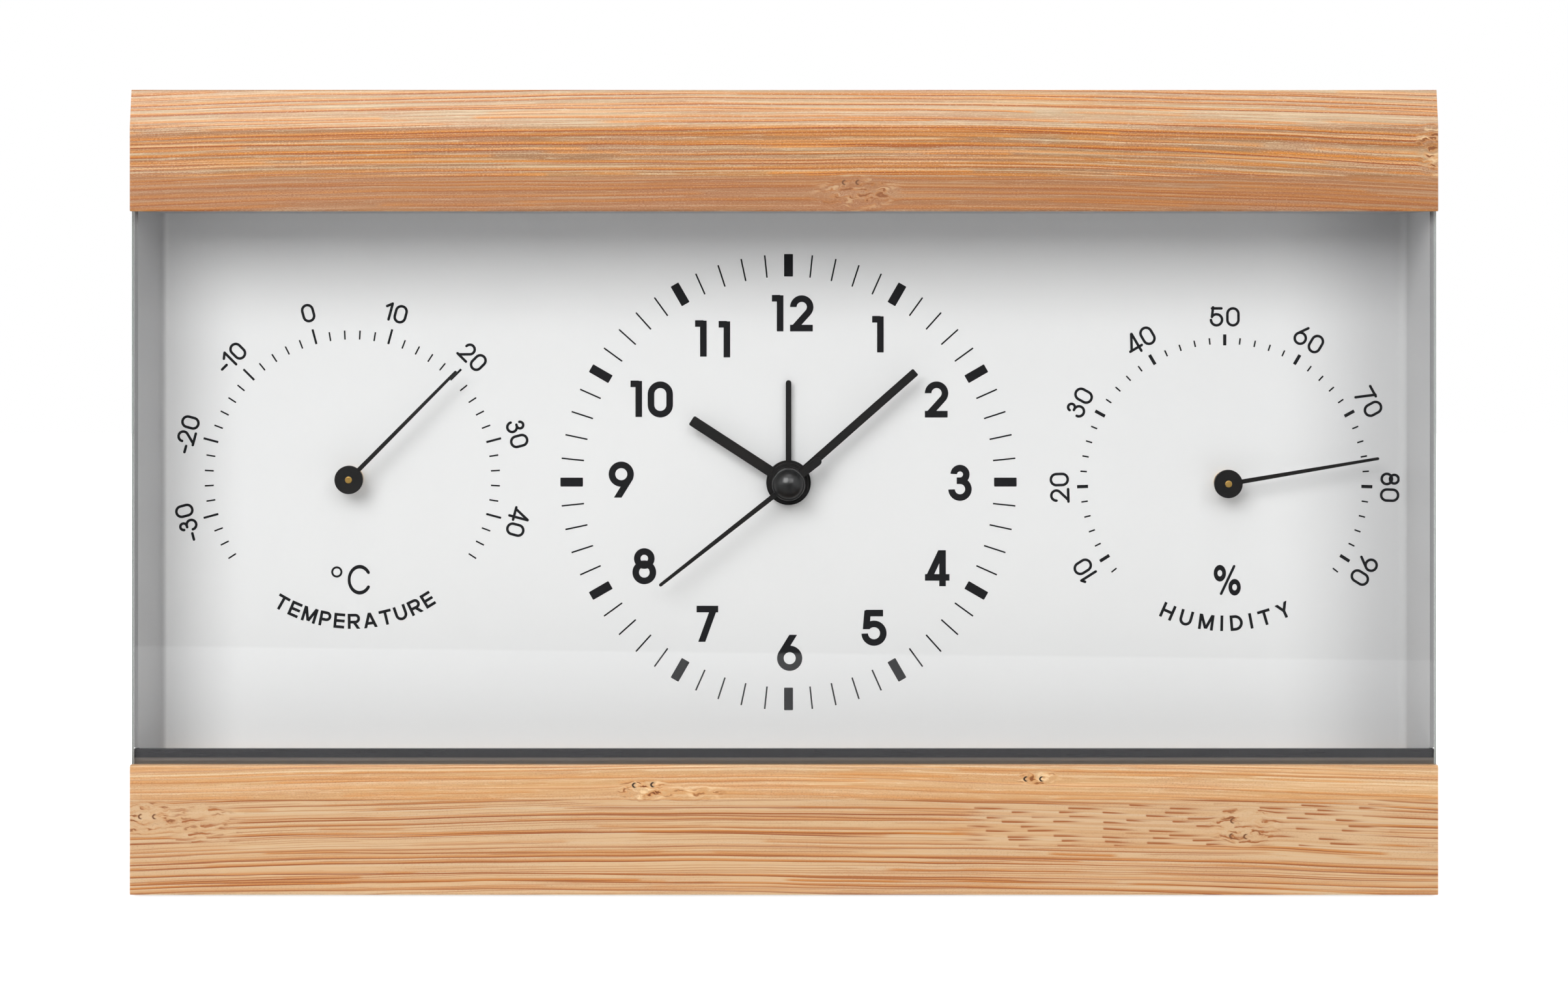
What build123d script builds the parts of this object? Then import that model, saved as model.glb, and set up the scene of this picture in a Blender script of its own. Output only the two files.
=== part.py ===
from build123d import *
from math import cos, hypot, radians, sin
import os

# Thermometer hygrometer clock: two bamboo bars hold a glazed white dial and a black rear housing.
# Millimetres. +Z is up, the dial faces -Y, the origin is on the table under the middle of the clock.
# A clock angle runs clockwise from twelve; every other angle runs anticlockwise from +X, seen from the front.

# Whole clock
width = 250.0
opening_height = 107.4
cut_over = 1.0
near = 0.01

# Bamboo bars
bar_height = 23.3
bevel_height = 7.0
bevel_depth = 1.6
bevel_round = 8.0
bar_edge = 0.4
lip_height = 1.5

# Rubber feet
foot_radius = 5.0
foot_thickness = 1.5
foot_pocket = 1.0
foot_inset_x = 16.0
foot_inset_y = 10.0
foot_edge = 0.3

# Dial sheet, bent forward at both ends
sheet = 0.8
dial_setback = 28.0
bend_radius = 1.6
tab_height = 2.0
tab_inset = 9.0
groove_play = 0.1
dial_shift = 0.9

# Glass pane, and the black strip with its upright rail behind the pane
glass_thickness = 2.0
glass_setback = 1.8
glass_bite = 2.5
glass_play = 0.2
sill_thickness = 0.6
rail_height = 4.1
rail_thickness = 1.0

# Rear housing
housing_wall = 2.0
rear_setback = 6.0
housing_side_inset = 0.2
vent_count = 7
vent_width = 2.2
vent_height = 24.0
vent_pitch = 5.0
sound_hole_radius = 0.9
sound_hole_ring = 4.2
sound_hole_count = 6

# Wood screws that hold the bars on the housing
wood_screw_radius = 1.6
wood_screw_head_radius = 3.2
wood_screw_head = 2.0
wood_screw_length = 14.0
wood_screw_inset = 20.0
wood_screw_pair = 60.0
cross_slot_width = 0.7
cross_slot_share = 0.6
slot_depth_share = 0.5

# Machine and tapping screws inside
tapping_radius = 1.2
tapping_head_radius = 2.4
tapping_head = 1.6
tapping_length = 6.0
small_radius = 0.7
small_head_radius = 1.5
small_head = 0.9
small_length = 4.0
screw_play = 0.05

# Movement case
case_top = 28.0
case_bottom = 28.4
case_wall = 1.2
case_corner = 2.5
collar_radius = 3.9
collar_rise = 0.6
dial_hole_play = 0.2
bay_wall_height = 11.2
post_radius = 2.0
post_inset = 3.6
ear_reach = 7.0
ear_half_height = 3.5
ear_thickness = 2.0
ear_height = 20.0
boss_radius = 3.0
boss_height = 5.3

# Gear train: wheel layers are stacked from the dial to the rear
wheel_thickness = 0.8
layer_gap = 0.6
layer_count = 8
first_gap = 0.5
pinion_extra = 0.1
running_play = 0.06
seat_play = 0.02
arbor_radius = 0.35
minute_tube_radius = 1.0
hour_tube_radius = 1.75
alarm_tube_radius = 2.4
setting_shaft_radius = 1.2
motion_stub_radius = 0.6
rim_share = 0.82
hub_share = 0.34
spoke_count = 4
spoke_width = 0.9
addendum_share = 0.75
dedendum_share = 1.15
tip_share = 0.18
root_share = 0.46

# Tooth counts and tooth modules
cannon_teeth = 14
motion_wheel_teeth = 42
motion_pinion_teeth = 10
hour_teeth = 40
motion_module = 0.25
alarm_teeth = 40
alarm_pinion_teeth = 12
alarm_module = 0.3
second_pinion_teeth = 8
third_wheel_teeth = 64
third_pinion_teeth = 8
centre_teeth = 60
third_module = 0.16
second_wheel_teeth = 60
step_pinion_teeth = 10
second_module = 0.15
step_wheel_teeth = 50
rotor_teeth = 10
rotor_module = 0.18

# Directions from the hand axis to each arbor, and from the step arbor to the rotor
motion_direction = 205.0
alarm_direction = 335.0
third_direction = 40.0
step_direction = 140.0
rotor_direction = 110.0

# Step motor
magnet_radius = 1.5
stator_gap = 0.4
stator_thickness = 1.0
stator_half_width = 5.0
stator_drop = 3.0
stator_arm = 3.0
stator_span = 13.0
coil_rise = 9.8
core_height = 3.0
bobbin_half = 3.4
bobbin_flange = 0.8
bobbin_length = 20.0
winding_radius = 3.0
bobbin_wall = 0.6

# Bridge plate over the motion work
bridge_half_width = 15.5
bridge_top = 13.0
bridge_bottom = 10.8
bridge_post_radius = 1.5
bridge_post_inset = 2.2

# Circuit board, crystal, chip and buzzer, placed from the hand axis
board_left = 16.2
board_right = 26.2
board_bottom = -5.0
board_top = 10.0
board_thickness = 1.0
board_post_radius = 1.2
board_post_inset = 2.0
crystal_radius = 1.0
crystal_length = 6.0
chip_size = 4.0
chip_inset = 0.6
chip_thickness = 1.1
buzzer_x = 18.6
buzzer_z = 18.4
buzzer_radius = 6.0
buzzer_depth = 6.5
buzzer_step = 1.0
buzzer_port_radius = 1.2

# Alarm switch, placed from the hand axis
switch_x = 19.5
switch_z = 0.0
switch_travel = 4.0
switch_plate = 5.0
switch_plate_thickness = 1.0
switch_stem_width = 3.0
switch_stem_height = 2.4
switch_play = 0.2
switch_thumb = 4.6
switch_thumb_height = 4.4
switch_thumb_rise = 2.0
switch_rib_count = 3
switch_rib = 0.5

# Battery, its contacts and its door
cell_radius = 7.1
cell_length = 50.5
cell_nub_radius = 2.75
cell_nub = 1.3
cell_edge = 0.6
cell_drop = 19.9
cell_seat = 0.3
contact_thickness = 0.4
contact_width = 8.0
leaf_flat = 2.0
leaf_room = 2.7
door_half_width = 27.0
door_height = 18.0
door_play = 0.3
door_pin_radius = 0.6
door_pin_reach = 1.6
door_lug_depth = 2.0
door_lug_width = 4.0
door_rib_thickness = 1.2
door_rib_inset = 12.0
door_rib_gap = 0.4
notch_radius = 5.0
notch_depth = 1.2

# Setting knobs
knob_radius = 6.0
knob_rise = 4.4
knob_gap = 0.5
knob_groove_radius = 0.45
knob_groove_count = 24
knob_edge = 0.5
knob_bore_play = 0.3

# Clock hands
hand_thickness = 0.4
hand_edge = 0.1
hub_thickness = 1.0
alarm_hand_gap = 0.4
hand_gap = 0.8
alarm_hand_length = 20.4
alarm_hand_width = 1.1
alarm_hub_radius = 4.45
alarm_hub_thickness = 0.8
alarm_clock_angle = 0.0
hour_hand_length = 23.0
hour_hand_width = 2.1
hour_hub_radius = 4.0
hour_clock_angle = 303.0
minute_hand_length = 33.6
minute_hand_width = 1.65
minute_hub_radius = 3.4
minute_clock_angle = 48.6
second_hand_length = 32.5
second_root_width = 1.05
second_tip_width = 0.65
second_tail_length = 8.1
second_tail_width = 1.65
second_clock_angle = 231.8
cap_ring_radius = 3.25
cap_ring = 0.5
cap_dome_radius = 2.9
cap_dome_rise = 1.5

# Thermometer and hygrometer
instrument_inset = 37.9
thermometer_rise = 0.8
spindle_radius = 0.7
bush_radius = 1.5
bush_flange_radius = 2.2
bush_flange = 0.6
bracket_half_width = 9.0
bracket_half_height = 5.0
bracket_metal = 0.8
bracket_depth = 9.0
bracket_arm_half_height = 3.0
strip = 0.3
strip_width = 3.0
strip_turns = 5
strip_pitch = 1.0
strip_offset = 3.0
pointer_height = 5.3
pointer_hub_radius = 2.8
pointer_hub_thickness = 1.0
pointer_length = 30.3
pointer_root_width = 0.9
pointer_tip_width = 0.55
spindle_proud = 0.15
thermometer_angle = 45.3
hygrometer_angle = 9.6

# Places worked out from the sizes above
case_half_width = case_wall + (leaf_room + cell_length + contact_thickness) / 2
instrument_spread = width / 2 - instrument_inset
layer = wheel_thickness + layer_gap
train_depth = case_wall + first_gap + layer_count * layer
depth = dial_setback + sheet + train_depth + boss_height + housing_wall + rear_setback
front = -depth / 2
rear = depth / 2
dial_face = front + dial_setback
dial_back = dial_face + sheet
housing_back = rear - rear_setback
housing_inner = housing_back - housing_wall
glass_front = front + glass_setback
glass_back = glass_front + glass_thickness
stand = foot_thickness - foot_pocket
lip_back = glass_front - glass_play
rail_front = glass_back + glass_play
rail_back = rail_front + rail_thickness
sill_top = stand + bar_height
ceiling = sill_top + opening_height
total_height = ceiling + bar_height
axis_x = dial_shift
axis_z = sill_top + opening_height / 2
case_inner = dial_back + case_wall
alarm_layer = case_inner + first_gap
hour_layer = alarm_layer + layer
motion_layer = hour_layer + layer
centre_layer = motion_layer + layer
bridge_layer = centre_layer + layer
third_layer = bridge_layer + layer
second_layer = third_layer + layer
step_layer = second_layer + layer
cover_layer = dial_back + train_depth
cover_back = cover_layer + case_wall
motion_distance = (cannon_teeth + motion_wheel_teeth) / 2 * motion_module
hour_module = 2 * motion_distance / (motion_pinion_teeth + hour_teeth)
alarm_distance = (alarm_teeth + alarm_pinion_teeth) / 2 * alarm_module
third_distance = (second_pinion_teeth + third_wheel_teeth) / 2 * third_module
centre_module = 2 * third_distance / (third_pinion_teeth + centre_teeth)
step_distance = (second_wheel_teeth + step_pinion_teeth) / 2 * second_module
rotor_distance = (step_wheel_teeth + rotor_teeth) / 2 * rotor_module


def block(x0, x1, y0, y1, z0, z1):
    """A box between two corners."""
    middle = Pos((x0 + x1) / 2, (y0 + y1) / 2, (z0 + z1) / 2)
    return middle * Box(x1 - x0, y1 - y0, z1 - z0)


def disc(radius, y0, y1, x=0, z=0):
    """A cylinder along Y."""
    return Pos(x, (y0 + y1) / 2, z) * Rot(90, 0, 0) * Cylinder(radius, y1 - y0)


def rod_x(radius, x0, x1, y, z):
    """A cylinder along X."""
    return Pos((x0 + x1) / 2, y, z) * Rot(0, 90, 0) * Cylinder(radius, x1 - x0)


def rod_z(radius, z0, z1, x, y):
    """A cylinder along Z."""
    return Pos(x, y, (z0 + z1) / 2) * Cylinder(radius, z1 - z0)


def plate(outline, y0, y1, x=0, z=0):
    """A flat outline seen from the front, given thickness between two depths."""
    return Pos(x, y1, z) * Rot(90, 0, 0) * extrude(outline, y1 - y0)


def polar(distance, direction):
    """A place at a distance and direction from the hand axis."""
    turn = radians(direction)
    return axis_x + distance * cos(turn), axis_z + distance * sin(turn)


def front_edges(part, y):
    """The edges of a part that lie in the plane at depth y."""
    return part.edges().filter_by_position(Axis.Y, y - near, y + near)


def gear_outline(teeth, module, phase):
    """A toothed outline whose first tooth points along the phase angle."""
    pitch_radius = teeth * module / 2
    tip = pitch_radius + addendum_share * module
    root = pitch_radius - dedendum_share * module
    pitch = 360 / teeth
    points = []
    for tooth in range(teeth):
        middle = phase + tooth * pitch
        for radius, share in ((root, -root_share), (tip, -tip_share), (tip, tip_share), (root, root_share)):
            turn = radians(middle + share * pitch / 2 * pitch_radius / radius)
            points.append((radius * cos(turn), radius * sin(turn)))
    return make_face(Polyline(*points, close=True))


def mesh_phase(teeth, phase, direction, next_teeth):
    """The phase of the next wheel, so that its gap meets this wheel's tooth on the line of centres."""
    here = (direction - phase) * teeth / 360
    there = (0.5 - here) % 1
    return direction + 180 - there * 360 / next_teeth


def wheel(teeth, module, phase, y0, x, z, bore):
    """A spoked toothed wheel, one layer thick."""
    outline = gear_outline(teeth, module, phase)
    root = teeth * module / 2 - dedendum_share * module
    window = Circle(root * rim_share) - Circle(max(root * hub_share, bore + spoke_width))
    for spoke in range(spoke_count):
        bar = Rot(0, 0, phase + spoke * 360 / spoke_count) * Rectangle(2 * root, spoke_width)
        window = window - bar
    outline = outline - window
    if bore:
        outline = outline - Circle(bore)
    return plate(outline, y0, y0 + wheel_thickness, x, z)


def pinion(teeth, module, phase, y0, x, z, bore=0):
    """A solid toothed pinion that covers a wheel's layer with a little to spare."""
    outline = gear_outline(teeth, module, phase)
    if bore:
        outline = outline - Circle(bore)
    return plate(outline, y0 - pinion_extra, y0 + wheel_thickness + pinion_extra, x, z)


def tube(outer, bore, y0, y1, x, z):
    """A tube along Y."""
    return disc(outer, y0, y1, x, z) - disc(bore, y0 - cut_over, y1 + cut_over, x, z)


def screw(shank_radius, length, head_radius, head):
    """A pan-head screw with a cross slot: the shank runs up +Z from the head at the origin."""
    top = Pos(0, 0, -head / 2) * Cylinder(head_radius, head)
    top = fillet(top.edges().filter_by(GeomType.CIRCLE).sort_by(Axis.Z)[0], head * slot_depth_share)
    slot = 2 * head_radius * cross_slot_share
    deep = head * slot_depth_share
    cross = Box(slot, cross_slot_width, deep) + Box(cross_slot_width, slot, deep)
    shank = Pos(0, 0, length / 2) * Cylinder(shank_radius, length)
    point = shank_radius * (1 - cross_slot_share)
    shank = chamfer(shank.edges().sort_by(Axis.Z)[-1], point)
    return top + shank - Pos(0, 0, -head + deep / 2) * cross


# Bamboo bars

def bar_screw_places():
    """Where the wood screws stand along each bar."""
    outer = width / 2 - wood_screw_inset
    return [side * x for side in (-1, 1) for x in (outer, outer - wood_screw_pair)]


screw_y = (dial_back + housing_inner) / 2


def bar_grooves(face, side):
    """The grooves for the glass and for the dial sheet's tabs, and the screw holes.

    face is the height of the bar's inner face, and side is 1 where the bar lies above it."""
    groove_half = width / 2 + cut_over
    deep = side * (glass_bite + glass_play)
    low, high = sorted((face - side * cut_over, face + deep))
    cuts = block(-groove_half, groove_half, lip_back, rail_front, low, high)
    tab_half = width / 2 - tab_inset + groove_play
    deep = side * (tab_height + glass_play)
    low, high = sorted((face - side * cut_over, face + deep))
    cuts += block(-tab_half, tab_half, dial_face - groove_play, dial_back + groove_play, low, high)
    low, high = sorted((face - side * cut_over, face + side * (wood_screw_length - housing_wall + cut_over)))
    for x in bar_screw_places():
        cuts += rod_z(wood_screw_radius + screw_play, low, high, x, screw_y)
    return cuts


def make_top_bar():
    """The upper bar, its upper front edge planed to a shallow bevel."""
    run = front + bevel_depth
    profile = Polyline(
        (front, ceiling), (rear, ceiling), (rear, total_height), (run, total_height),
        (front, total_height - bevel_height), close=True)
    section = Plane.YZ.offset(-width / 2) * make_face(profile)
    body = extrude(section, width)
    bevel_foot = total_height - bevel_height
    body = fillet(body.edges().filter_by(Axis.X).filter_by_position(Axis.Z, bevel_foot, bevel_foot), bevel_round)
    rest = body.edges().filter_by(Axis.X).filter_by_position(Axis.Y, rear, rear)
    for height in (ceiling, total_height):
        rest += body.edges().filter_by(Axis.X).filter_by_position(Axis.Z, height, height)
    body = fillet(ShapeList(set(rest)), bar_edge)
    return body - bar_grooves(ceiling, 1)


def foot_places():
    """The centre of each foot under the lower bar."""
    return [(i * (width / 2 - foot_inset_x), j * (depth / 2 - foot_inset_y)) for i in (-1, 1) for j in (-1, 1)]


def make_bottom_bar():
    """The lower bar, with a lip before the glass and a pocket for each foot."""
    lip_top = sill_top + lip_height
    profile = Polyline(
        (front, stand), (rear, stand), (rear, sill_top), (lip_back, sill_top), (lip_back, lip_top),
        (front, lip_top), close=True)
    section = Plane.YZ.offset(-width / 2) * make_face(profile)
    body = extrude(section, width)
    long_edges = body.edges().filter_by(Axis.X)
    eased = long_edges.filter_by_position(Axis.Y, rear, rear) + long_edges.filter_by_position(Axis.Y, front, front)
    body = fillet(eased, bar_edge)
    body = body - bar_grooves(sill_top, -1)
    for x, y in foot_places():
        body = body - rod_z(foot_radius + groove_play, stand - cut_over, stand + foot_pocket, x, y)
    return body


def make_rubber_feet():
    """Four round pads that carry the clock."""
    feet = []
    for x, y in foot_places():
        foot = rod_z(foot_radius, 0, foot_thickness, x, y)
        feet.append(fillet(foot.edges().filter_by(GeomType.CIRCLE).sort_by(Axis.Z)[0], foot_edge))
    return feet


def bar_screws():
    """The wood screws through the housing into both bars."""
    one = screw(wood_screw_radius, wood_screw_length, wood_screw_head_radius, wood_screw_head)
    screws = []
    for x in bar_screw_places():
        screws.append(Pos(x, screw_y, ceiling - housing_wall) * one)
        screws.append(Pos(x, screw_y, sill_top + housing_wall) * Rot(180, 0, 0) * one)
    return screws


# Dial, glass and sill

def instrument_axes():
    """The thermometer's and the hygrometer's spindle axes."""
    thermometer = (axis_x - instrument_spread, axis_z + thermometer_rise)
    hygrometer = (axis_x + instrument_spread, axis_z)
    return thermometer, hygrometer


def make_dial_plate():
    """A white sheet with both ends bent forward to the glass, clear of the rail, and tabs for the grooves."""
    half = width / 2
    outer = bend_radius + sheet
    outline = Polyline(
        (-half, rail_front), (-half, dial_back), (half, dial_back), (half, rail_front),
        (half - sheet, rail_front), (half - sheet, dial_face), (-half + sheet, dial_face),
        (-half + sheet, rail_front), close=True)
    body = Pos(0, 0, sill_top) * extrude(make_face(outline), opening_height)
    upright = body.edges().filter_by(Axis.Z)
    inner = upright.filter_by_position(Axis.Y, dial_face, dial_face)
    body = fillet(inner, bend_radius)
    upright = body.edges().filter_by(Axis.Z)
    body = fillet(upright.filter_by_position(Axis.Y, dial_back, dial_back), outer)
    tab_half = half - tab_inset
    body += block(-tab_half, tab_half, dial_face, dial_back, sill_top - tab_height, ceiling + tab_height)
    over = half + cut_over
    body -= block(-over, over, front, rail_back + glass_play, stand, sill_top + rail_height + glass_play)
    body -= disc(collar_radius + dial_hole_play, front, rear, axis_x, axis_z)
    for x, z in instrument_axes():
        body -= disc(bush_radius + screw_play, front, rear, x, z)
    return body


def make_front_glass():
    """A flat pane held in the grooves of the bars."""
    half = width / 2
    pane = block(-half, half, glass_front, glass_back, sill_top - glass_bite, ceiling + glass_bite)
    return chamfer(pane.edges(), glass_play)


def make_sill_strip():
    """A black strip on the lower bar from the glass to the dial, with an upright rail at its front."""
    half = width / 2
    inner = half - sheet - glass_play
    strip_back = dial_face - bend_radius
    body = block(-inner, inner, rail_front, strip_back, sill_top, sill_top + sill_thickness)
    return body + block(-half, half, rail_front, rail_back, sill_top, sill_top + rail_height)


# Rear housing and its door

def door_place():
    """The middle of the battery door and its lower edge."""
    return axis_x, axis_z - cell_drop - door_height / 2


def movement_screw_places():
    """The middle of each ear of the movement, seen from the front."""
    reach = case_half_width + ear_reach / 2
    return [(axis_x + i * reach, axis_z + j * ear_height) for i in (-1, 1) for j in (-1, 1)]


def vent_slots(x, z, y0, y1):
    """Air slots behind an instrument, with round ends."""
    slots = []
    for index in range(vent_count):
        middle = x + (index - (vent_count - 1) / 2) * vent_pitch
        slots.append(plate(Rot(0, 0, 90) * SlotOverall(vent_height, vent_width), y0, y1, middle, z))
    return slots


def sound_holes(y0, y1):
    """Round holes behind the buzzer."""
    x, z = axis_x + buzzer_x, axis_z + buzzer_z
    holes = [disc(sound_hole_radius, y0, y1, x, z)]
    for index in range(sound_hole_count):
        turn = radians(index * 360 / sound_hole_count)
        place = (x + sound_hole_ring * cos(turn), z + sound_hole_ring * sin(turn))
        holes.append(disc(sound_hole_radius, y0, y1, *place))
    return holes


def switch_slot(y0, y1):
    """The slot that the alarm switch's stem slides in."""
    x = axis_x + switch_x
    z = axis_z + switch_z
    half = switch_stem_width / 2 + switch_play
    tall = switch_stem_height / 2 + switch_play
    return block(x - half, x + half + switch_travel, y0, y1, z - tall, z + tall)


def make_rear_housing():
    """A black tray that closes the back, with the movement's bosses, air slots and the battery opening."""
    half = width / 2 - housing_side_inset
    body = block(-half, half, dial_back, housing_back, sill_top, ceiling)
    body = fillet(body.edges().filter_by(Axis.Z).filter_by_position(Axis.Y, housing_back, housing_back), housing_wall)
    body -= block(
        -half + housing_wall, half - housing_wall, dial_back - cut_over, housing_inner,
        sill_top + housing_wall, ceiling - housing_wall)
    ear_back = cover_layer
    for x, z in movement_screw_places():
        body += disc(boss_radius, ear_back, housing_inner, x, z)
        body -= disc(tapping_radius + screw_play, ear_back - cut_over, housing_inner, x, z)
    middle, low = door_place()
    wide = door_half_width + door_play
    pin_y = housing_inner + housing_wall / 2
    pin_z = low + housing_wall / 2
    lug_out = wide + door_pin_reach
    for side in (-1, 1):
        x0, x1 = sorted((middle + side * wide, middle + side * (wide + door_lug_width)))
        half_lug = door_lug_width / 2
        body += block(x0, x1, housing_inner - door_lug_depth, housing_inner, pin_z - half_lug, pin_z + half_lug)
    body -= block(
        middle - wide, middle + wide, housing_inner - door_lug_depth - cut_over, housing_back + cut_over,
        low - door_play, low + door_height + door_play)
    body -= rod_x(door_pin_radius + running_play, middle - lug_out, middle + lug_out, pin_y, pin_z)
    notch = disc(notch_radius, housing_back - notch_depth, housing_back + cut_over, middle, low + door_height)
    body -= notch
    for x, z in instrument_axes():
        for slot in vent_slots(x, z, housing_inner - cut_over, housing_back + cut_over):
            body -= slot
    for hole in sound_holes(housing_inner - cut_over, housing_back + cut_over):
        body -= hole
    body -= switch_slot(housing_inner - cut_over, housing_back + cut_over)
    for x, z in (polar(motion_distance, motion_direction), polar(alarm_distance, alarm_direction)):
        body -= disc(setting_shaft_radius + knob_bore_play, housing_inner - cut_over, housing_back + cut_over, x, z)
    for x in bar_screw_places():
        body -= rod_z(wood_screw_radius + screw_play, sill_top - cut_over, ceiling + cut_over, x, screw_y)
    return body


def make_battery_door():
    """The battery door: its lower edge is round about its two pins, and it swings out at the top."""
    middle, low = door_place()
    radius = housing_wall / 2
    pin_y = housing_inner + radius
    pin_z = low + radius
    left, right = middle - door_half_width, middle + door_half_width
    body = block(left, right, housing_inner, housing_back, pin_z, low + door_height)
    body += rod_x(radius, left, right, pin_y, pin_z)
    body += rod_x(door_pin_radius, left - door_pin_reach, right + door_pin_reach, pin_y, pin_z)
    rib_front = cell_y + cell_radius + door_rib_gap
    for side in (-1, 1):
        x = middle + side * door_rib_inset
        half = door_rib_thickness / 2
        z0 = axis_z - cell_drop - door_rib_inset / 3
        z1 = axis_z - cell_drop + door_rib_inset / 3
        body += block(x - half, x + half, rib_front, housing_inner, z0, z1)
    notch = disc(notch_radius, housing_back - notch_depth, housing_back + cut_over, middle, low + door_height)
    return body - notch


# Battery and contacts

cell_y = case_inner + cell_seat + cell_radius
cell_z = axis_z - cell_drop
bay_left = axis_x - case_half_width + case_wall
bay_right = axis_x + case_half_width - case_wall
cell_right = bay_right - contact_thickness
cell_left = cell_right - cell_length


def make_battery_cell():
    """A round cell whose positive nub is at the right, seen from the front."""
    body = rod_x(cell_radius, cell_left, cell_right - cell_nub, cell_y, cell_z)
    body = fillet(body.edges().filter_by(GeomType.CIRCLE), cell_edge)
    return body + rod_x(cell_nub_radius, cell_right - cell_nub - cell_edge, cell_right, cell_y, cell_z)


def make_positive_contact():
    """A flat contact plate on the right wall of the battery bay."""
    half = contact_width / 2
    return block(cell_right, bay_right, cell_y - half, cell_y + half, cell_z - half, cell_z + half)


def make_negative_contact():
    """A bent leaf spring between the left wall of the bay and the cell."""
    half = contact_width / 2
    wall = bay_left + contact_thickness
    reach = cell_left
    flat = leaf_flat / 2
    inside = reach - contact_thickness
    slope = (half - flat) / (reach - wall)
    lift = contact_thickness * hypot(1, slope)
    corner = half - lift - (inside - wall) * slope
    free = wall + contact_thickness / 2
    end = half - (free - wall) * slope
    outline = Polyline(
        (bay_left, -half), (wall, -half), (reach, -flat), (reach, flat), (free, end), (free, end - lift),
        (inside, corner), (inside, -corner), (wall, lift - half), (wall, half), (bay_left, half), close=True)
    return Pos(0, cell_y, cell_z - half / 2) * extrude(make_face(outline), half)


# Movement case

def case_outline(play=0):
    """The movement's outline, seen from the front, with its origin on the hand axis."""
    tall = case_top + case_bottom
    box = Pos(0, (case_top - case_bottom) / 2) * Rectangle(2 * (case_half_width - play), tall - 2 * play)
    return fillet(box.vertices(), case_corner - play / 2)


def cover_post_places():
    """The posts that the cover is screwed on."""
    x = case_half_width - post_inset
    return [(i * x, z) for i in (-1, 1) for z in (case_top - post_inset, -bay_wall_height + post_inset)]


def bridge_post_places():
    """The posts that the bridge is screwed on."""
    x = bridge_half_width - bridge_post_inset
    return [(i * x, z) for i in (-1, 1) for z in (bridge_top - bridge_post_inset, -bridge_bottom + bridge_post_inset)]


def board_post_places():
    """The posts under the circuit board."""
    inset = board_post_inset
    return [(board_left + inset, board_top - inset), (board_right - inset, board_bottom + inset)]


def rotor_place():
    """The rotor axis, from the step arbor."""
    x, z = polar(step_distance, step_direction)
    turn = radians(rotor_direction)
    return x + rotor_distance * cos(turn), z + rotor_distance * sin(turn)


def stator_screw_places():
    """The two screws that clamp the coil core on the stator."""
    x, z = rotor_place()
    reach = stator_span - stator_arm / 2
    return [(x - reach, z + coil_rise), (x + reach, z + coil_rise)]


core_front = third_layer
core_back = core_front + stator_thickness
board_y = third_layer


def make_movement_base():
    """The front half of the movement case: collar, battery bay, posts and fixing ears."""
    case_depth = cover_layer
    body = plate(case_outline(), dial_back, case_depth, axis_x, axis_z)
    inner = offset(case_outline(), -case_wall)
    floor = -bay_wall_height
    upper = inner - Pos(0, floor - case_bottom) * Rectangle(4 * case_half_width, 2 * case_bottom)
    lower = inner - Pos(0, floor - case_wall + case_top) * Rectangle(4 * case_half_width, 2 * case_top)
    body -= plate(upper, case_inner, case_depth + cut_over, axis_x, axis_z)
    body -= plate(lower, case_inner, case_depth + cut_over, axis_x, axis_z)
    for x, z in cover_post_places():
        post = disc(post_radius, case_inner, case_depth, axis_x + x, axis_z + z)
        body += post - disc(small_radius + screw_play, case_inner, case_depth + cut_over, axis_x + x, axis_z + z)
    for x, z in bridge_post_places():
        post = disc(bridge_post_radius, case_inner, bridge_layer, axis_x + x, axis_z + z)
        body += post - disc(small_radius + screw_play, case_inner, bridge_layer + cut_over, axis_x + x, axis_z + z)
    for x, z in stator_screw_places():
        post = disc(bridge_post_radius, case_inner, core_front, x, z)
        body += post - disc(small_radius + screw_play, case_inner, core_front + cut_over, x, z)
    for x, z in board_post_places():
        body += disc(board_post_radius, case_inner, board_y, axis_x + x, axis_z + z)
    for x, z in movement_screw_places():
        side = 1 if x > axis_x else -1
        x0, x1 = sorted((axis_x + side * case_half_width, axis_x + side * (case_half_width + ear_reach)))
        ear = block(x0, x1, case_depth - ear_thickness, case_depth, z - ear_half_height, z + ear_half_height)
        body += ear - disc(tapping_radius + screw_play, front, rear, x, z)
    body += disc(collar_radius, dial_face - collar_rise, dial_back, axis_x, axis_z)
    body -= disc(alarm_tube_radius + running_play, front, rear, axis_x, axis_z)
    for place, radius in (
            (polar(motion_distance, motion_direction), motion_stub_radius),
            (polar(alarm_distance, alarm_direction), setting_shaft_radius)):
        body += disc(2 * radius, case_inner, case_inner + first_gap / 2, *place)
        body -= disc(radius + running_play, dial_back + case_wall / 2, rear, *place)
    return body


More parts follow.
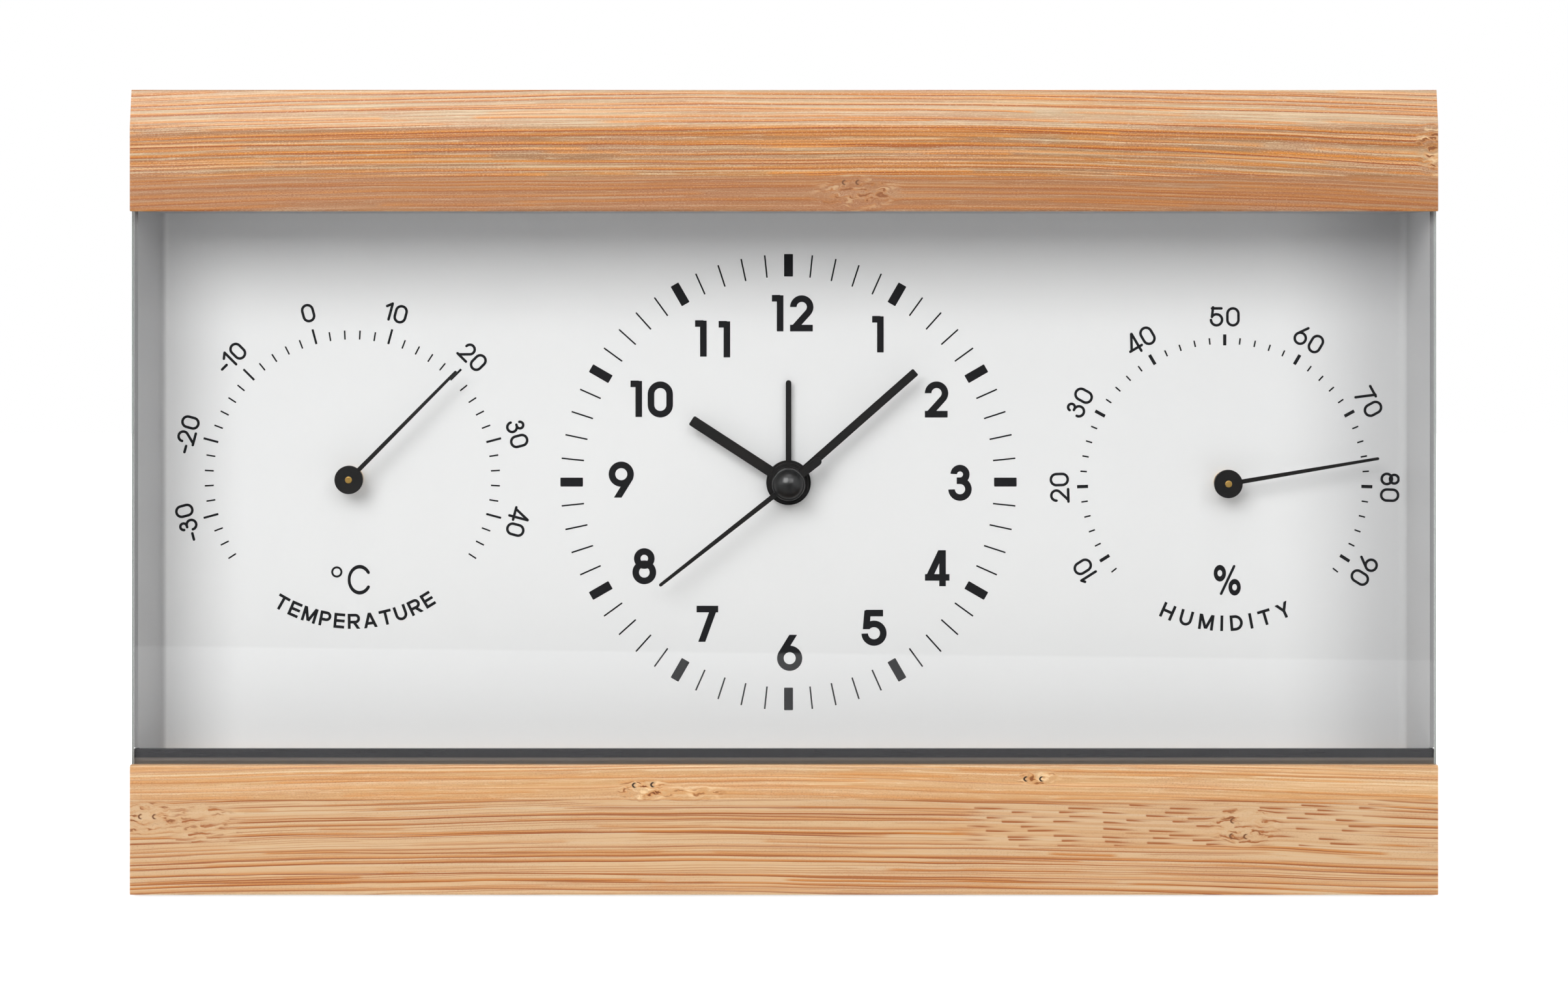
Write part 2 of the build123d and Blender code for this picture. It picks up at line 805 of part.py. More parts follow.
def make_movement_cover():
    """The rear plate of the movement, with bearings for the arbors; it leaves the battery bay open."""
    floor = -bay_wall_height - case_wall
    outline = case_outline() - Pos(0, floor - case_bottom) * Rectangle(4 * case_half_width, 2 * case_bottom)
    body = plate(outline, cover_layer, cover_back, axis_x, axis_z)
    boss = layer_gap / 2
    second = (axis_x, axis_z)
    for x, z in (second, polar(third_distance, third_direction), polar(step_distance, step_direction), rotor_place()):
        body += disc(3 * arbor_radius, cover_layer - boss, cover_layer, x, z)
        body -= disc(arbor_radius + running_play, front, cover_layer + case_wall / 2, x, z)
    for x, z in (polar(motion_distance, motion_direction), polar(alarm_distance, alarm_direction)):
        body -= disc(setting_shaft_radius + running_play, front, rear, x, z)
    for x, z in cover_post_places():
        body -= disc(small_radius + screw_play, front, rear, axis_x + x, axis_z + z)
    for hole in sound_holes(cover_layer - cut_over, cover_back + cut_over):
        body -= hole
    return body - switch_slot(cover_layer - cut_over, cover_back + cut_over)


def small_screw(y, x, z):
    """A small screw driven forward from behind, its head seated at depth y."""
    one = screw(small_radius, small_length, small_head_radius, small_head)
    return Pos(x, y, z) * Rot(90, 0, 0) * one


def cover_screws():
    """Four screws that hold the cover."""
    return [small_screw(cover_back, axis_x + x, axis_z + z) for x, z in cover_post_places()]


def bridge_screws():
    """Four screws that hold the bridge."""
    seat = bridge_layer + wheel_thickness
    return [small_screw(seat, axis_x + x, axis_z + z) for x, z in bridge_post_places()]


def stator_screws():
    """Two screws through the stator and the coil core."""
    seat = core_back + stator_thickness
    return [small_screw(seat, x, z) for x, z in stator_screw_places()]


def movement_screws():
    """Four tapping screws through the movement's ears into the housing's bosses."""
    one = screw(tapping_radius, tapping_length, tapping_head_radius, tapping_head)
    seat = cover_layer - ear_thickness
    return [Pos(x, seat, z) * Rot(-90, 0, 0) * one for x, z in movement_screw_places()]


def make_train_bridge():
    """The plate between the motion work and the going train."""
    tall = bridge_top + bridge_bottom
    outline = Pos(0, (bridge_top - bridge_bottom) / 2) * Rectangle(2 * bridge_half_width, tall)
    outline = fillet(outline.vertices(), bridge_post_inset)
    body = plate(outline, bridge_layer, bridge_layer + wheel_thickness, axis_x, axis_z)
    second = (axis_x, axis_z)
    for x, z in (second, polar(third_distance, third_direction), polar(step_distance, step_direction), rotor_place()):
        body -= disc(arbor_radius + running_play, front, rear, x, z)
    for x, z in (polar(motion_distance, motion_direction), polar(alarm_distance, alarm_direction)):
        body -= disc(setting_shaft_radius + running_play, front, rear, x, z)
    for x, z in bridge_post_places():
        body -= disc(small_radius + screw_play, front, rear, axis_x + x, axis_z + z)
    return body


# Tooth phases, carried from wheel to wheel so that all are in mesh at rest
motion_phase = mesh_phase(cannon_teeth, 0, motion_direction, motion_wheel_teeth)
hour_phase = mesh_phase(motion_pinion_teeth, 0, motion_direction + 180, hour_teeth)
alarm_pinion_phase = mesh_phase(alarm_teeth, 0, alarm_direction, alarm_pinion_teeth)
third_phase = mesh_phase(second_pinion_teeth, 0, third_direction, third_wheel_teeth)
centre_phase = mesh_phase(third_pinion_teeth, 0, third_direction + 180, centre_teeth)
step_pinion_phase = mesh_phase(second_wheel_teeth, 0, step_direction, step_pinion_teeth)
rotor_phase = mesh_phase(step_wheel_teeth, 0, rotor_direction, rotor_teeth)

# Depths of the hands, counted forward from the dial
alarm_hand_back = dial_face - collar_rise - alarm_hand_gap
alarm_hand_front = alarm_hand_back - alarm_hub_thickness
hour_hand_back = alarm_hand_front - hand_gap
hour_hand_front = hour_hand_back - hub_thickness
minute_hand_back = hour_hand_front - hand_gap
minute_hand_front = minute_hand_back - hub_thickness
second_hand_back = minute_hand_front - hand_gap
second_hand_front = second_hand_back - hand_thickness
cap_front = second_hand_front - cap_ring


def make_alarm_wheel():
    """The alarm wheel and its tube, which carries the alarm hand."""
    bore = hour_tube_radius + running_play
    body = wheel(alarm_teeth, alarm_module, 0, alarm_layer, axis_x, axis_z, bore)
    return body + tube(alarm_tube_radius, bore, alarm_hand_front, alarm_layer + wheel_thickness, axis_x, axis_z)


def make_hour_wheel():
    """The hour wheel and its tube, which carries the hour hand."""
    bore = minute_tube_radius + running_play
    body = wheel(hour_teeth, hour_module, hour_phase, hour_layer, axis_x, axis_z, bore)
    return body + tube(hour_tube_radius, bore, hour_hand_front, hour_layer + wheel_thickness, axis_x, axis_z)


def make_minute_arbor():
    """The minute tube with its pinion, which carries the minute hand."""
    bore = arbor_radius + running_play
    back = centre_layer + wheel_thickness + layer_gap / 2
    body = tube(minute_tube_radius, bore, minute_hand_front, back, axis_x, axis_z)
    return body + pinion(cannon_teeth, motion_module, 0, motion_layer, axis_x, axis_z, bore)


def make_centre_wheel():
    """The driven wheel that grips the minute tube by friction."""
    bore = minute_tube_radius + running_play
    return wheel(centre_teeth, centre_module, centre_phase, centre_layer, axis_x, axis_z, bore)


def make_motion_wheel():
    """The wheel and pinion between the minute and hour hands, on the time-setting shaft."""
    x, z = polar(motion_distance, motion_direction)
    body = wheel(motion_wheel_teeth, motion_module, motion_phase, motion_layer, x, z, 0)
    body += pinion(motion_pinion_teeth, hour_module, 0, hour_layer, x, z)
    body += disc(motion_stub_radius, dial_back + case_wall / 2 + running_play, motion_layer, x, z)
    return body + disc(setting_shaft_radius, motion_layer, housing_back + knob_rise, x, z)


def make_alarm_setting_shaft():
    """The alarm-setting shaft with its pinion."""
    x, z = polar(alarm_distance, alarm_direction)
    body = disc(setting_shaft_radius, dial_back + case_wall / 2 + running_play, housing_back + knob_rise, x, z)
    return body + pinion(alarm_pinion_teeth, alarm_module, alarm_pinion_phase, alarm_layer, x, z)


def make_seconds_wheel():
    """The seconds wheel and pinion on the thin inner arbor, which carries the second hand."""
    back = cover_layer + case_wall / 2 - running_play
    body = disc(arbor_radius, second_hand_front - cap_ring, back, axis_x, axis_z)
    body += wheel(second_wheel_teeth, second_module, 0, second_layer, axis_x, axis_z, 0)
    return body + pinion(second_pinion_teeth, third_module, 0, third_layer, axis_x, axis_z)


def make_third_wheel():
    """The wheel and pinion between the seconds pinion and the centre wheel."""
    x, z = polar(third_distance, third_direction)
    back = cover_layer + case_wall / 2 - running_play
    body = disc(arbor_radius, centre_layer - layer_gap, back, x, z)
    body += wheel(third_wheel_teeth, third_module, third_phase, third_layer, x, z, 0)
    return body + pinion(third_pinion_teeth, centre_module, 0, centre_layer, x, z)


def make_step_wheel():
    """The wheel and pinion between the rotor and the seconds wheel."""
    x, z = polar(step_distance, step_direction)
    back = cover_layer + case_wall / 2 - running_play
    body = disc(arbor_radius, bridge_layer, back, x, z)
    body += wheel(step_wheel_teeth, rotor_module, 0, step_layer, x, z, 0)
    return body + pinion(step_pinion_teeth, second_module, step_pinion_phase, second_layer, x, z)


def make_rotor():
    """The magnet of the step motor with its pinion."""
    x, z = rotor_place()
    back = cover_layer + case_wall / 2 - running_play
    body = disc(arbor_radius, bridge_layer, back, x, z)
    body += disc(magnet_radius, core_back - stator_gap, core_back + stator_thickness + stator_gap, x, z)
    return body + pinion(rotor_teeth, rotor_module, rotor_phase, step_layer, x, z)


# Step motor's fixed pieces

def make_stator_plate():
    """The soft-iron plate round the rotor, with two arms up to the coil core."""
    x, z = rotor_place()
    y0, y1 = core_back, core_back + stator_thickness
    body = block(x - stator_half_width, x + stator_half_width, y0, y1, z - stator_drop, z + stator_drop)
    top = z + coil_rise + core_height / 2
    for side in (-1, 1):
        outer = x + side * stator_span
        inner = outer - side * stator_arm
        x0, x1 = sorted((inner, outer))
        body += block(x0, x1, y0, y1, z, top)
        x0, x1 = sorted((x + side * stator_half_width / 2, outer))
        body += block(x0, x1, y0, y1, z, z + stator_drop)
    body -= disc(magnet_radius + stator_gap, front, rear, x, z)
    for place in stator_screw_places():
        body -= disc(small_radius + screw_play, front, rear, *place)
    return body


def make_coil_core():
    """The flat iron bar through the coil."""
    x, z = rotor_place()
    half = core_height / 2
    body = block(x - stator_span, x + stator_span, core_front, core_back, z + coil_rise - half, z + coil_rise + half)
    for place in stator_screw_places():
        body -= disc(small_radius + screw_play, front, rear, *place)
    return body


def coil_frame(half_length, radius):
    """A cylinder along X round the coil core."""
    x, z = rotor_place()
    return rod_x(radius, x - half_length, x + half_length, (core_front + core_back) / 2, z + coil_rise)


def core_slot():
    """The room for the core through the bobbin."""
    x, z = rotor_place()
    play = seat_play
    half = core_height / 2 + play
    long = bobbin_length
    middle = z + coil_rise
    return block(x - long, x + long, core_front - play, core_back + play, middle - half, middle + half)


def make_coil_bobbin():
    """A plastic spool with square cheeks."""
    x, z = rotor_place()
    half = bobbin_length / 2
    middle = (core_front + core_back) / 2
    spool_radius = hypot(core_height, stator_thickness) / 2 + bobbin_wall
    body = coil_frame(half, spool_radius)
    for side in (-1, 1):
        x0, x1 = sorted((x + side * half, x + side * (half - bobbin_flange)))
        height = z + coil_rise
        body += block(x0, x1, middle - bobbin_half, middle + bobbin_half, height - bobbin_half, height + bobbin_half)
    return body - core_slot()


def make_coil_winding():
    """The copper winding between the spool's cheeks."""
    half = bobbin_length / 2 - bobbin_flange
    spool_radius = hypot(core_height, stator_thickness) / 2 + bobbin_wall
    return coil_frame(half, winding_radius) - coil_frame(half + cut_over, spool_radius)


# Circuit board and what is on it

def make_circuit_board():
    """The board that carries the chip and crystal."""
    return block(
        axis_x + board_left, axis_x + board_right, board_y, board_y + board_thickness,
        axis_z + board_bottom, axis_z + board_top)


def make_quartz_crystal():
    """The crystal's metal can, lying on the front of the board."""
    x = axis_x + board_right - board_post_inset - crystal_radius
    z1 = axis_z + board_top - board_post_inset
    can = rod_z(crystal_radius, z1 - crystal_length, z1, x, board_y - crystal_radius)
    return fillet(can.edges().filter_by(GeomType.CIRCLE), crystal_radius / 4)


def make_driver_chip():
    """The sealed chip on the front of the board."""
    half = chip_size / 2
    x = axis_x + board_left + chip_inset + half
    z = axis_z + board_bottom + chip_inset + half
    chip = block(x - half, x + half, board_y - chip_thickness, board_y, z - half, z + half)
    return chamfer(chip.edges().group_by(Axis.Y)[0], chip_thickness / 4)


def make_buzzer():
    """The alarm buzzer, a round can with a port towards the rear."""
    x, z = axis_x + buzzer_x, axis_z + buzzer_z
    body = disc(buzzer_radius, case_inner, case_inner + buzzer_depth, x, z)
    body += disc(buzzer_radius - buzzer_step, case_inner, case_inner + buzzer_depth + buzzer_step, x, z)
    return body - disc(buzzer_port_radius, case_inner + buzzer_depth / 2, rear, x, z)


def make_alarm_switch():
    """The on and off slider: an inner plate on the board, a stem through both walls and a ribbed thumb pad."""
    x, z = axis_x + switch_x, axis_z + switch_z
    y0 = board_y + board_thickness + switch_play
    y1 = y0 + switch_plate_thickness
    half = switch_plate / 2
    body = block(x - half, x + half, y0, y1, z - half, z + half)
    half = switch_stem_width / 2
    tall = switch_stem_height / 2
    thumb_front = housing_back + switch_play
    body += block(x - half, x + half, y1, thumb_front, z - tall, z + tall)
    half = switch_thumb / 2
    tall = switch_thumb_height / 2
    body += block(x - half, x + half, thumb_front, thumb_front + switch_thumb_rise, z - tall, z + tall)
    for index in range(switch_rib_count):
        middle = x + (index - (switch_rib_count - 1) / 2) * switch_thumb / switch_rib_count
        groove = switch_rib / 2
        top = thumb_front + switch_thumb_rise
        body -= block(middle - groove, middle + groove, top - switch_rib, top + cut_over, z - 2 * tall, z + 2 * tall)
    return body


def make_knob(distance, direction):
    """A round setting knob with a finely grooved rim."""
    x, z = polar(distance, direction)
    y0 = housing_back + knob_gap
    y1 = housing_back + knob_gap + knob_rise
    body = disc(knob_radius, y0, y1, x, z)
    body = chamfer(body.edges().filter_by(GeomType.CIRCLE).sort_by(Axis.Y)[-1], knob_edge)
    for index in range(knob_groove_count):
        turn = radians(index * 360 / knob_groove_count)
        place = (x + knob_radius * cos(turn), z + knob_radius * sin(turn))
        body -= disc(knob_groove_radius, y0 - cut_over, y1 + cut_over, *place)
    return body - disc(setting_shaft_radius + seat_play, y0 - cut_over, housing_back + knob_rise, x, z)


# Clock hands

def square_blade(length, wide):
    """A straight blade from the axis along +X with slightly softened outer corners."""
    outline = Pos(length / 2, 0) * Rectangle(length, wide)
    return fillet(outline.vertices().group_by(Axis.X)[-1], wide / 6)


def round_blade(length, root, tip):
    """A tapered blade from the axis along +X with a round end."""
    end = length - tip / 2
    outline = make_face(Polyline((0, -root / 2), (end, -tip / 2), (end, tip / 2), (0, root / 2), close=True))
    return outline + Pos(end, 0) * Circle(tip / 2)


def hand(blade, clock_angle, hub_radius, bore, y_front, y_back):
    """A flat hand: a thin blade in the middle of its round hub, with a soft front edge."""
    turn = 90 - clock_angle
    middle = (y_front + y_back) / 2
    flat = Rot(0, 0, turn) * blade
    hub = plate(Circle(hub_radius), y_front, y_back, axis_x, axis_z)
    hub = chamfer(front_edges(hub, y_front), hand_edge)
    blade_front = middle - hand_thickness / 2
    body = plate(flat, blade_front, middle + hand_thickness / 2, axis_x, axis_z)
    body = chamfer(front_edges(body, blade_front), hand_edge)
    return hub + body - disc(bore, front, rear, axis_x, axis_z)


def make_alarm_hand():
    """The short slim hand nearest the dial."""
    blade = round_blade(alarm_hand_length, alarm_hand_width, alarm_hand_width)
    bore = alarm_tube_radius + seat_play
    return hand(blade, alarm_clock_angle, alarm_hub_radius, bore, alarm_hand_front, alarm_hand_back)


def make_hour_hand():
    """The broad short hand."""
    blade = square_blade(hour_hand_length, hour_hand_width)
    bore = hour_tube_radius + seat_play
    return hand(blade, hour_clock_angle, hour_hub_radius, bore, hour_hand_front, hour_hand_back)


def make_minute_hand():
    """The long hand."""
    blade = square_blade(minute_hand_length, minute_hand_width)
    bore = minute_tube_radius + seat_play
    return hand(blade, minute_clock_angle, minute_hub_radius, bore, minute_hand_front, minute_hand_back)


def make_second_hand():
    """The thin hand with a short round tail."""
    blade = round_blade(second_hand_length, second_root_width, second_tip_width)
    tail = Rot(0, 0, 180) * round_blade(second_tail_length, second_tail_width, second_tail_width)
    outline = Rot(0, 0, 90 - second_clock_angle) * (blade + tail + Circle(cap_dome_radius))
    body = plate(outline, second_hand_front, second_hand_back, axis_x, axis_z)
    body = chamfer(front_edges(body, second_hand_front), hand_edge)
    return body - disc(arbor_radius + seat_play, front, rear, axis_x, axis_z)


def make_hand_cap():
    """The domed cap over the hands."""
    y0 = cap_front
    body = disc(cap_ring_radius, y0, second_hand_front, axis_x, axis_z)
    body = fillet(body.edges().filter_by(GeomType.CIRCLE).sort_by(Axis.Y)[0], cap_ring / 2)
    # The dome is the slice of a ball that has the dome's rim radius and rise.
    ball = (cap_dome_radius ** 2 + cap_dome_rise ** 2) / (2 * cap_dome_rise)
    centre = y0 - cap_dome_rise + ball
    dome = Pos(axis_x, centre, axis_z) * Sphere(ball)
    dome = dome & disc(cap_dome_radius, y0 - 2 * cap_dome_rise, y0 + cap_ring / 2, axis_x, axis_z)
    return body + dome - disc(arbor_radius + seat_play, y0, rear, axis_x, axis_z)


# Thermometer and hygrometer

def make_bush(x, z):
    """A brass bush riveted through the dial and the bracket."""
    back = dial_back + bracket_metal
    body = disc(bush_flange_radius, dial_face - bush_flange, dial_face, x, z)
    body += disc(bush_radius, dial_face, back, x, z)
    body += disc(bush_flange_radius, back, back + bush_flange, x, z)
    return body - disc(spindle_radius + running_play, front, rear, x, z)


def make_bracket(x, z):
    """A bent steel bracket behind the dial with the spindle's rear bearing."""
    wide, tall = bracket_half_width, bracket_half_height
    arm = bracket_arm_half_height
    back = dial_back + bracket_depth
    body = block(x - wide, x + wide, dial_back, dial_back + bracket_metal, z - tall, z + tall)
    body += block(x - wide, x + wide, back - bracket_metal, back, z - arm, z + arm)
    for side in (-1, 1):
        x0, x1 = sorted((x + side * wide, x + side * (wide - bracket_metal)))
        body += block(x0, x1, dial_back, back, z - arm, z + arm)
    body -= disc(bush_radius + screw_play, front, dial_back + bracket_metal + cut_over, x, z)
    return body - disc(spindle_radius + running_play, front, rear, x, z)


def make_coil_strip(x, z):
    """A flat spiral of half turns, with a tail to the bracket's left side."""
    y0 = dial_back + strip_offset
    y1 = y0 + strip_width
    shape = None
    radius = spindle_radius + running_play
    centre = 0
    half_box = strip_turns * 2 * strip_pitch
    for index in range(2 * strip_turns):
        side = 1 if index % 2 == 0 else -1
        ring = Circle(radius + strip) - Circle(radius)
        keep = Pos(0, side * half_box) * Rectangle(4 * half_box, 2 * half_box)
        piece = Pos(centre, 0) * (ring & keep)
        shape = piece if shape is None else shape + piece
        radius += strip_pitch / 2
        centre -= side * strip_pitch / 2
    reach = bracket_half_width - bracket_metal
    tail = Pos(-(radius + reach) / 2, -strip / 2) * Rectangle(reach - radius, strip)
    return plate(shape + tail, y0, y1, x, z)


def make_spindle(x, z):
    """The brass spindle."""
    tip = dial_face - pointer_height - pointer_hub_thickness / 2 - spindle_proud
    body = disc(spindle_radius, tip, dial_back + bracket_depth + spindle_proud, x, z)
    return fillet(front_edges(body, tip), spindle_proud)


def make_pointer(x, z, angle):
    """A slim pointer on a round hub."""
    front_face = dial_face - pointer_height - pointer_hub_thickness / 2
    back_face = front_face + pointer_hub_thickness
    hub = plate(Circle(pointer_hub_radius), front_face, back_face, x, z)
    hub = chamfer(front_edges(hub, front_face), hand_edge)
    blade = Rot(0, 0, angle) * round_blade(pointer_length, pointer_root_width, pointer_tip_width)
    middle = (front_face + back_face) / 2
    body = plate(blade, middle - hand_thickness / 2, middle + hand_thickness / 2, x, z)
    return hub + body - disc(spindle_radius + seat_play, front, rear, x, z)


def build():
    """Every piece by its name."""
    thermometer, hygrometer = instrument_axes()
    pieces = {
        "top_bar": make_top_bar(),
        "bottom_bar": make_bottom_bar(),
        "rubber_feet": make_rubber_feet(),
        "bar_screws": bar_screws(),
        "dial_plate": make_dial_plate(),
        "front_glass": make_front_glass(),
        "sill_strip": make_sill_strip(),
        "rear_housing": make_rear_housing(),
        "battery_door": make_battery_door(),
        "battery_cell": make_battery_cell(),
        "positive_contact": make_positive_contact(),
        "negative_contact": make_negative_contact(),
        "movement_base": make_movement_base(),
        "movement_cover": make_movement_cover(),
        "movement_screws": movement_screws(),
        "cover_screws": cover_screws(),
        "bridge_screws": bridge_screws(),
        "stator_screws": stator_screws(),
        "train_bridge": make_train_bridge(),
        "alarm_wheel": make_alarm_wheel(),
        "hour_wheel": make_hour_wheel(),
        "minute_arbor": make_minute_arbor(),
        "centre_wheel": make_centre_wheel(),
        "motion_wheel": make_motion_wheel(),
        "alarm_setting_shaft": make_alarm_setting_shaft(),
        "seconds_wheel": make_seconds_wheel(),
        "third_wheel": make_third_wheel(),
        "step_wheel": make_step_wheel(),
        "rotor": make_rotor(),
        "stator_plate": make_stator_plate(),
        "coil_core": make_coil_core(),
        "coil_bobbin": make_coil_bobbin(),
        "coil_winding": make_coil_winding(),
        "circuit_board": make_circuit_board(),
        "quartz_crystal": make_quartz_crystal(),
        "driver_chip": make_driver_chip(),
        "buzzer": make_buzzer(),
        "alarm_switch": make_alarm_switch(),
        "time_knob": make_knob(motion_distance, motion_direction),
        "alarm_knob": make_knob(alarm_distance, alarm_direction),
        "alarm_hand": make_alarm_hand(),
        "hour_hand": make_hour_hand(),
        "minute_hand": make_minute_hand(),
        "second_hand": make_second_hand(),
        "hand_cap": make_hand_cap(),
    }
    for name, place, angle in (
            ("thermometer", thermometer, thermometer_angle), ("hygrometer", hygrometer, hygrometer_angle)):
        pieces[name + "_bush"] = make_bush(*place)
        pieces[name + "_bracket"] = make_bracket(*place)
        pieces[name + "_coil"] = make_coil_strip(*place)
        pieces[name + "_spindle"] = make_spindle(*place)
        pieces[name + "_pointer"] = make_pointer(*place, angle)
    return pieces


os.makedirs("parts", exist_ok=True)
for node, piece in build().items():
    if isinstance(piece, list):
        piece = Compound(children=piece)
    export_step(piece, os.path.join("parts", node + ".step"))
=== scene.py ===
from math import acos, atan2, cos, degrees, hypot, pi, radians, sin

import bmesh
import bpy
from mathutils import Matrix, Vector


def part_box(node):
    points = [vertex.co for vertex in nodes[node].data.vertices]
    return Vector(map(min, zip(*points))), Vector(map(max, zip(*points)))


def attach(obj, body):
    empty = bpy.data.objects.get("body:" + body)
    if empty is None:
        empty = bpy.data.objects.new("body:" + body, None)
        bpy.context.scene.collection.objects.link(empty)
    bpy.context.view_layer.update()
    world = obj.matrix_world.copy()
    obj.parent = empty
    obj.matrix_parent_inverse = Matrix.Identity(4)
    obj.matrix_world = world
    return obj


# Thermometer hygrometer clock: finishes, dial print, marks on the back, studio and camera.
# The frame is in metres; lengths of the print and of the finishes are in millimetres.
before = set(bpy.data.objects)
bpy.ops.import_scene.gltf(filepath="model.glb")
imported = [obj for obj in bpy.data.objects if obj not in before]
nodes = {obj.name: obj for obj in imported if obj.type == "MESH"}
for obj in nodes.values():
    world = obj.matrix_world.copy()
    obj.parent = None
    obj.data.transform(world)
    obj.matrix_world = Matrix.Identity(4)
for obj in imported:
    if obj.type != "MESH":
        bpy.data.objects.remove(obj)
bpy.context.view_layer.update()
MM = 0.001

# Places read from the frame
dial_sheet = 0.8
dial_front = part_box("dial_plate")[1].y / MM - dial_sheet
housing_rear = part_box("rear_housing")[1].y / MM
thin_strip = 6.6
top_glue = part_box("top_bar")[0].z / MM + thin_strip
bottom_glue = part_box("bottom_bar")[1].z / MM - thin_strip
bevel_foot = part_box("top_bar")[1].z / MM - 7.0
lip_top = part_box("bottom_bar")[1].z / MM
bar_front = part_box("top_bar")[0].y / MM
half_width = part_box("top_bar")[1].x / MM
sheet_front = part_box("dial_plate")[0].y / MM


def centre_of(node):
    """The middle of a node's box seen from the front, in millimetres."""
    low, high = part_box(node)
    return (low.x + high.x) / 2 / MM, (low.z + high.z) / 2 / MM


def tone(red, green, blue):
    """A colour written as 0 to 255 display values."""
    shades = []
    for value in (red, green, blue):
        share = value / 255
        shades.append(share / 12.92 if share <= 0.04045 else ((share + 0.055) / 1.055) ** 2.4)
    return (*shades, 1.0)


class Value:
    """A number on a shader socket. Arithmetic on it adds Math nodes."""

    def __init__(self, finish, socket):
        self.finish = finish
        self.socket = socket

    def maths(self, operation, *others):
        return self.finish.node("ShaderNodeMath", {"operation": operation}, dict(enumerate((self, *others))))

    def __add__(self, other):
        return self.maths("ADD", other)

    def __sub__(self, other):
        return self.maths("SUBTRACT", other)

    def __mul__(self, other):
        return self.maths("MULTIPLY", other)

    def __truediv__(self, other):
        return self.maths("DIVIDE", other)

    def __rsub__(self, other):
        return (self * -1) + other

    __radd__ = __add__
    __rmul__ = __mul__

    def size(self):
        return self.maths("ABSOLUTE")

    def whole(self):
        return self.maths("FLOOR")

    def part(self):
        return self.maths("FRACT")

    def above(self, limit):
        return self.maths("GREATER_THAN", limit)

    def most(self, other):
        return self.maths("MAXIMUM", other)

    def root(self):
        return self.maths("SQRT")

    def wave(self):
        return self.maths("SINE")

    def fade(self, start, end):
        """0 at start and 1 at end, with a smooth change between them. Start may be the larger."""
        return self.finish.node(
            "ShaderNodeMapRange",
            {"interpolation_type": "SMOOTHSTEP"},
            {"Value": self, "From Min": start, "From Max": end, "To Min": 0.0, "To Max": 1.0},
        )


class Finish:
    """The nodes of one material or of the world."""

    def __init__(self, owner):
        owner.use_nodes = True
        self.owner = owner
        self.tree = owner.node_tree
        self.tree.nodes.clear()

    def node(self, kind, settings=None, sockets=None, out=0):
        """One node: its settings first, then the values or links of its sockets."""
        made = self.tree.nodes.new(kind)
        for name, setting in (settings or {}).items():
            setattr(made, name, setting)
        for name, value in (sockets or {}).items():
            if isinstance(value, Value):
                self.tree.links.new(value.socket, made.inputs[name])
            else:
                made.inputs[name].default_value = value
        return Value(self, made.outputs[out])

    def blend(self, first, second, share):
        """The second colour over the first by a share."""
        settings = {"data_type": "RGBA", "clamp_factor": True}
        return self.node("ShaderNodeMix", settings, {0: share, 6: first, 7: second}, out=2)

    def place(self):
        """Object coordinates in millimetres."""
        point = self.node("ShaderNodeTexCoord", out="Object")
        settings = {"operation": "SCALE"}
        return self.node("ShaderNodeVectorMath", settings, {0: point, "Scale": 1 / MM})

    def stretch(self, point, shares):
        settings = {"operation": "MULTIPLY"}
        return self.node("ShaderNodeVectorMath", settings, {0: point, 1: shares})

    def split(self, point):
        """The three numbers of a point."""
        first = self.node("ShaderNodeSeparateXYZ", {}, {0: point})
        return [Value(self, output) for output in first.socket.node.outputs]

    def join(self, x, y, z):
        return self.node("ShaderNodeCombineXYZ", {}, {0: x, 1: y, 2: z})

    def noise(self, point, scale=1.0, detail=2.0, roughness=0.5):
        sockets = {"Vector": point, "Scale": scale, "Detail": detail, "Roughness": roughness}
        return self.node("ShaderNodeTexNoise", {}, sockets)

    def cells(self, point, scale=1.0):
        """The distance to the nearest of scattered points."""
        return self.node("ShaderNodeTexVoronoi", {}, {"Vector": point, "Scale": scale}, "Distance")

    def chances(self, dimensions, **place):
        """Three chances of a cell, from 0 to 1."""
        settings = {"noise_dimensions": dimensions}
        return self.split(self.node("ShaderNodeTexWhiteNoise", settings, place, "Color"))

    def strands(self, across, pitch, salt, along):
        """Strands of a pitch, side by side across a board.

        Gives the distance from the nearest one's middle in millimetres, its three chances, and how far it is
        present along the board."""
        level = across / pitch + salt
        number = level.whole()
        chance = self.chances("1D", W=number * 1.618 + salt)
        away = (level.part() - 0.5 - (chance[0] - 0.5) * 0.5) * pitch
        return away, chance, self.noise(self.join(along, number * 3.7, salt), detail=1.0)

    def bump(self, height, distance, strength=1.0):
        sockets = {"Height": height, "Distance": distance * MM, "Strength": strength}
        return self.node("ShaderNodeBump", {}, sockets)

    def show(self, shader, kind="ShaderNodeOutputMaterial"):
        last = self.tree.nodes.new(kind)
        self.tree.links.new(shader.socket, last.inputs["Surface"])
        return self.owner

    def coat(self, **sockets):
        """Ends a material with its one surface shader."""
        named = {name.replace("_", " "): value for name, value in sockets.items()}
        return self.show(self.node("ShaderNodeBsdfPrincipled", {}, named))


def finish(name):
    return Finish(bpy.data.materials.new(name))


def knot_field(x, z, knots):
    """How far each place lies within a knot, and how far the knot shoves the fibres up or down."""
    knotted = None
    push = None
    for middle_x, middle_z, reach_x, reach_z, strength in knots:
        rise = (z - middle_z) / reach_z
        along = (x - middle_x) / reach_x
        near = (along * along + rise * rise).fade(1.0, 0.25) * strength
        shove = near * rise * -0.8
        knotted = near if knotted is None else knotted.most(near)
        push = shove if push is None else push + shove
    return knotted, push


